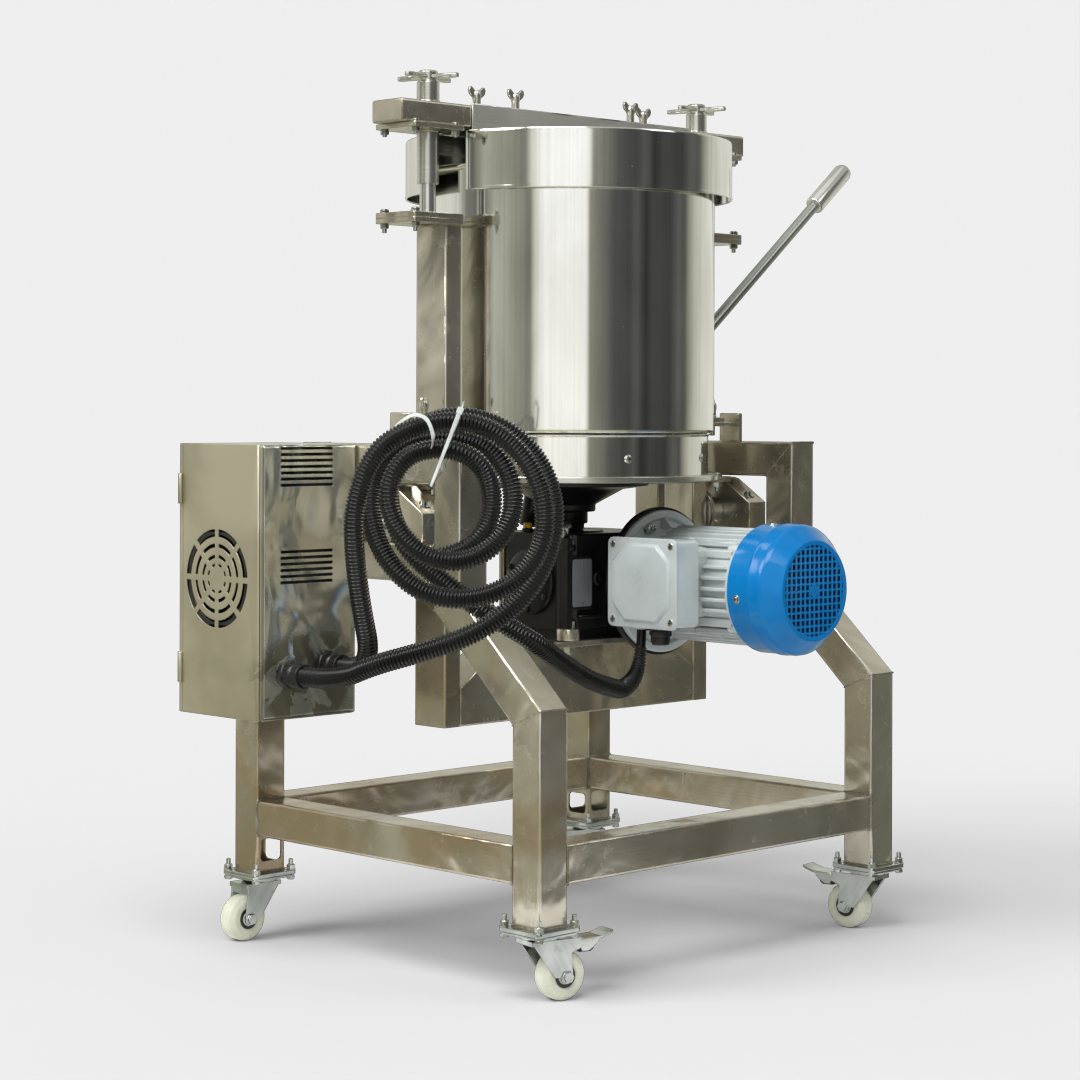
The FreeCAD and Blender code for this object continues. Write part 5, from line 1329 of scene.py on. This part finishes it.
# Cable ties round the strands
def closed_curve(points):
    """A smooth closed line through points: each span is a cubic, cut in twelve, that meets them along their chords."""
    p = vec(points)
    before, after, far = np.roll(p, 1, axis=0), np.roll(p, -1, axis=0), np.roll(p, -2, axis=0)
    t = (np.arange(12) / 12)[None, :, None]
    line = 0.5 * (2 * p[:, None] + (after - before)[:, None] * t
                  + (2 * before - 5 * p + 4 * after - far)[:, None] * t ** 2
                  + (3 * p - before - 3 * after + far)[:, None] * t ** 3)
    return line.reshape(-1, 3)


def strap(shape, path, broad, width, thick, loop=True):
    """A flat ribbon along a path, whose broad side lies along the given direction."""
    ahead = np.roll(path, -1, axis=0) - np.roll(path, 1, axis=0) if loop else np.gradient(path, axis=0)
    ahead = ahead / np.linalg.norm(ahead, axis=1)[:, None]
    side = unit(broad) - ahead * (ahead @ unit(broad))[:, None]
    side = side / np.linalg.norm(side, axis=1)[:, None]
    out = np.cross(ahead, side)
    section = rectangle(1.0, thick, 0.3)
    width = np.broadcast_to(vec(width), (len(path),))[:, None, None]
    points = path[:, None, :] + section[None, :, 0, None] * width * side[:, None] + (
        section[None, :, 1, None] * out[:, None])
    shape.add(points, skin(len(path), len(section), loop), "tie")


def ties():
    """Two ribbons round the strands; the second has its head on top and a long tapered tail."""
    made = Shape("tie")
    first = [(-220, -398, 722), (-198, -422, 735), (-181, -428, 731), (-173, -427, 715), (-172, -423, 702),
             (-178, -398, 688), (-190, -350, 690), (-208, -335, 704), (-222, -348, 718)]
    second = [(-137, -424, 740), (-146, -426, 718), (-154, -426, 698), (-161, -421, 680), (-160, -390, 666),
              (-152, -364.5, 690), (-141, -364.5, 725), (-135, -380, 749), (-135, -410, 749)]
    for points in (first, second):
        strap(made, closed_curve(coil_points(points)), coil_points([(0.45, 0, 0.9)])[0], 4.8, 1.4)
    toward, upright, level, seat = coil_points([(0, -1, 0), (0.36, 0, 0.93), (0.92, 0, -0.38), (-137.8, -427, 741)])
    slab(made, rectangle(9, 8, 1.2), -3, 4.5, seat, toward, 0.9, upright)
    a, b, c = coil_points([(-137.8, -430, 741), (-154.2, -431, 698), (-174.2, -430, 645.6)])
    t = np.linspace(0, 1, 16)[:, None]
    tail = (1 - t) ** 2 * a + 2 * t * (1 - t) * (2 * b - (a + c) / 2) + t ** 2 * c
    strap(made, tail, level, np.linspace(5.4, 3.4, 16), 1.3, False)
    slab(made, rectangle(14, 40, 2), -2, 9, (-360.5, -161.5, 711), toward, 1.0, (1, -1, 0))
    made.piece("tie_pair", "frame", "white_nylon", "cable_ties")


ties()

# World: pale to the camera and to metal, darker for the light that falls on dull surfaces
PAPER = srgb(239, 239, 239)
world = bpy.data.worlds.new("studio")
bpy.context.scene.world = world
world.use_nodes = True
sky = Nodes(world.node_tree)
seen, glossy, through = (sky.node("ShaderNodeLightPath", out="Is %s Ray" % kind)
                         for kind in ("Camera", "Glossy", "Transmission"))
colour, strength = world.node_tree.nodes["Background"].inputs[:2]
sky.feed(colour, PAPER)
sky.feed(strength, sky.node("ShaderNodeMapRange", None, {0: seen.most(glossy).most(through), 3: 0.62, 4: 1.0}))


def backdrop(name, profile):
    """A round sheet of the studio, from radius and height, that shows the world and keeps the object's shadow."""
    angle = np.arange(96) * TAU / 96
    rows = [[(r * math.cos(a), r * math.sin(a), h) for a in angle] for r, h in profile]
    made = put(name, mesh_of(name, rows, rings_to_faces(len(profile), 96).tolist()))
    made.is_shadow_catcher = True
    paper = Finish(name, Roughness=1.0, Specular_IOR_Level=0.0, Base_Color=PAPER)
    made.data.materials.append(paper.material)
    return made


backdrop("studio_floor", [(0.001, 0), (8, 0)])
cove = backdrop("studio_cove", [(8, 0), (10, 0.4), (11.5, 1.6), (12.5, 4), (13, 8), (13, 24)])
cove.visible_diffuse = False
cove.visible_glossy = False
cove.visible_shadow = False


def lamp(name, at, size, watts):
    """A softbox that shines at the middle of the machine."""
    light = bpy.data.lights.new(name, "AREA")
    light.shape = "RECTANGLE"
    light.size, light.size_y = size
    light.energy = watts
    holder = put(name, light)
    holder.location = at
    holder.rotation_mode = "QUATERNION"
    holder.rotation_quaternion = (Vector((0, 0, 0.6)) - Vector(at)).to_track_quat("-Z", "Y")


# Studio cards round the stage, seen only in metal and gloss: degrees to the right of the camera, and brightness
CARDS = [(-180, 0.6), (-120, 0.8), (-95, 0.7), (-86, 0.22), (-70, 0.16), (-60, 0.5), (-50, 0.4), (-36, 0.3),
         (-30, 0.2), (-26, 0.75), (-19, 1.12), (13, 1.12), (15.5, 0.28), (26, 0.2), (34, 0.1), (46, 0.065), (53, 0.11),
         (60, 0.035), (68, 0.07), (84, 0.055), (94, 0.13), (101, 0.09), (106, 0.3), (114, 0.55), (130, 0.75),
         (150, 0.8), (180, 0.6)]
FLOOR_CARDS = [(-180, 0.4), (-120, 0.5), (-90, 0.4), (-60, 0.34), (-30, 0.5), (0, 0.7), (30, 0.4), (60, 0.14),
               (90, 0.1), (120, 0.25), (150, 0.4), (180, 0.4)]


def card_ring(name, rows, levels):
    """A wall round the stage: its tone goes smoothly from one stated angle to the next.

    Each level is a radius, a height, a strength and how much blue is left. Middle tones are a little warm.
    """
    degrees = np.arange(-180, 180, 1.0)
    tone = np.interp(degrees, *np.transpose(rows))
    blue = np.interp(tone, [0.1, 0.3, 0.7, 1.3], [0.97, 0.82, 0.9, 1.02])
    angle = np.radians(degrees)
    out = -np.cos(angle)[:, None] * INWARD + np.sin(angle)[:, None] * ACROSS
    places, colours = [], []
    for radius, height, strength, cold in levels:
        places.append(out * radius + [0, 0, height])
        colours.append(np.column_stack([tone, tone * (0.97 + 0.03 * cold), tone * blue * cold, np.ones(360)])
                       * [strength, strength, strength, 1])
    mesh = mesh_of(name, places, rings_to_faces(len(levels), len(angle)).tolist())
    mesh.attributes.new("tone", "FLOAT_COLOR", "POINT").data.foreach_set(
        "color", np.concatenate(colours).astype(np.float32).ravel())
    made = put(name, mesh)
    made.visible_camera = False
    made.visible_diffuse = False
    made.visible_shadow = False
    glow = Finish(name, Base_Color=(0, 0, 0, 1), Roughness=1.0, Emission_Strength=1.0, Specular_IOR_Level=0.0)
    glow.set(Emission_Color=glow.node("ShaderNodeAttribute", {"attribute_name": "tone"}))
    mesh.materials.append(glow.material)


card_ring("studio_cards", CARDS, [(6, -1.5, 0.8, 0.78), (6, -0.2, 0.8, 0.8), (6, 0.8, 1.0, 1.0), (6, 5, 1.0, 1.0)])
card_ring("floor_cards", FLOOR_CARDS, [(0.7, 0.003, 1.0, 0.85), (6, 0.003, 1.0, 0.85)])
card_ring("ceiling_cards", [(-180, 0.5), (180, 0.5)], [(6, 5, 1.0, 1.0), (2.5, 6, 1.0, 1.0)])
lamp("left_softbox", (-3.2, 0.6, 3.0), (2.0, 1.6), 104)
lamp("top_softbox", (-1.9, -1.3, 3.6), (2.0, 1.4), 84)
lamp("right_softbox", (1.4, -3.0, 3.2), (1.4, 1.6), 12)
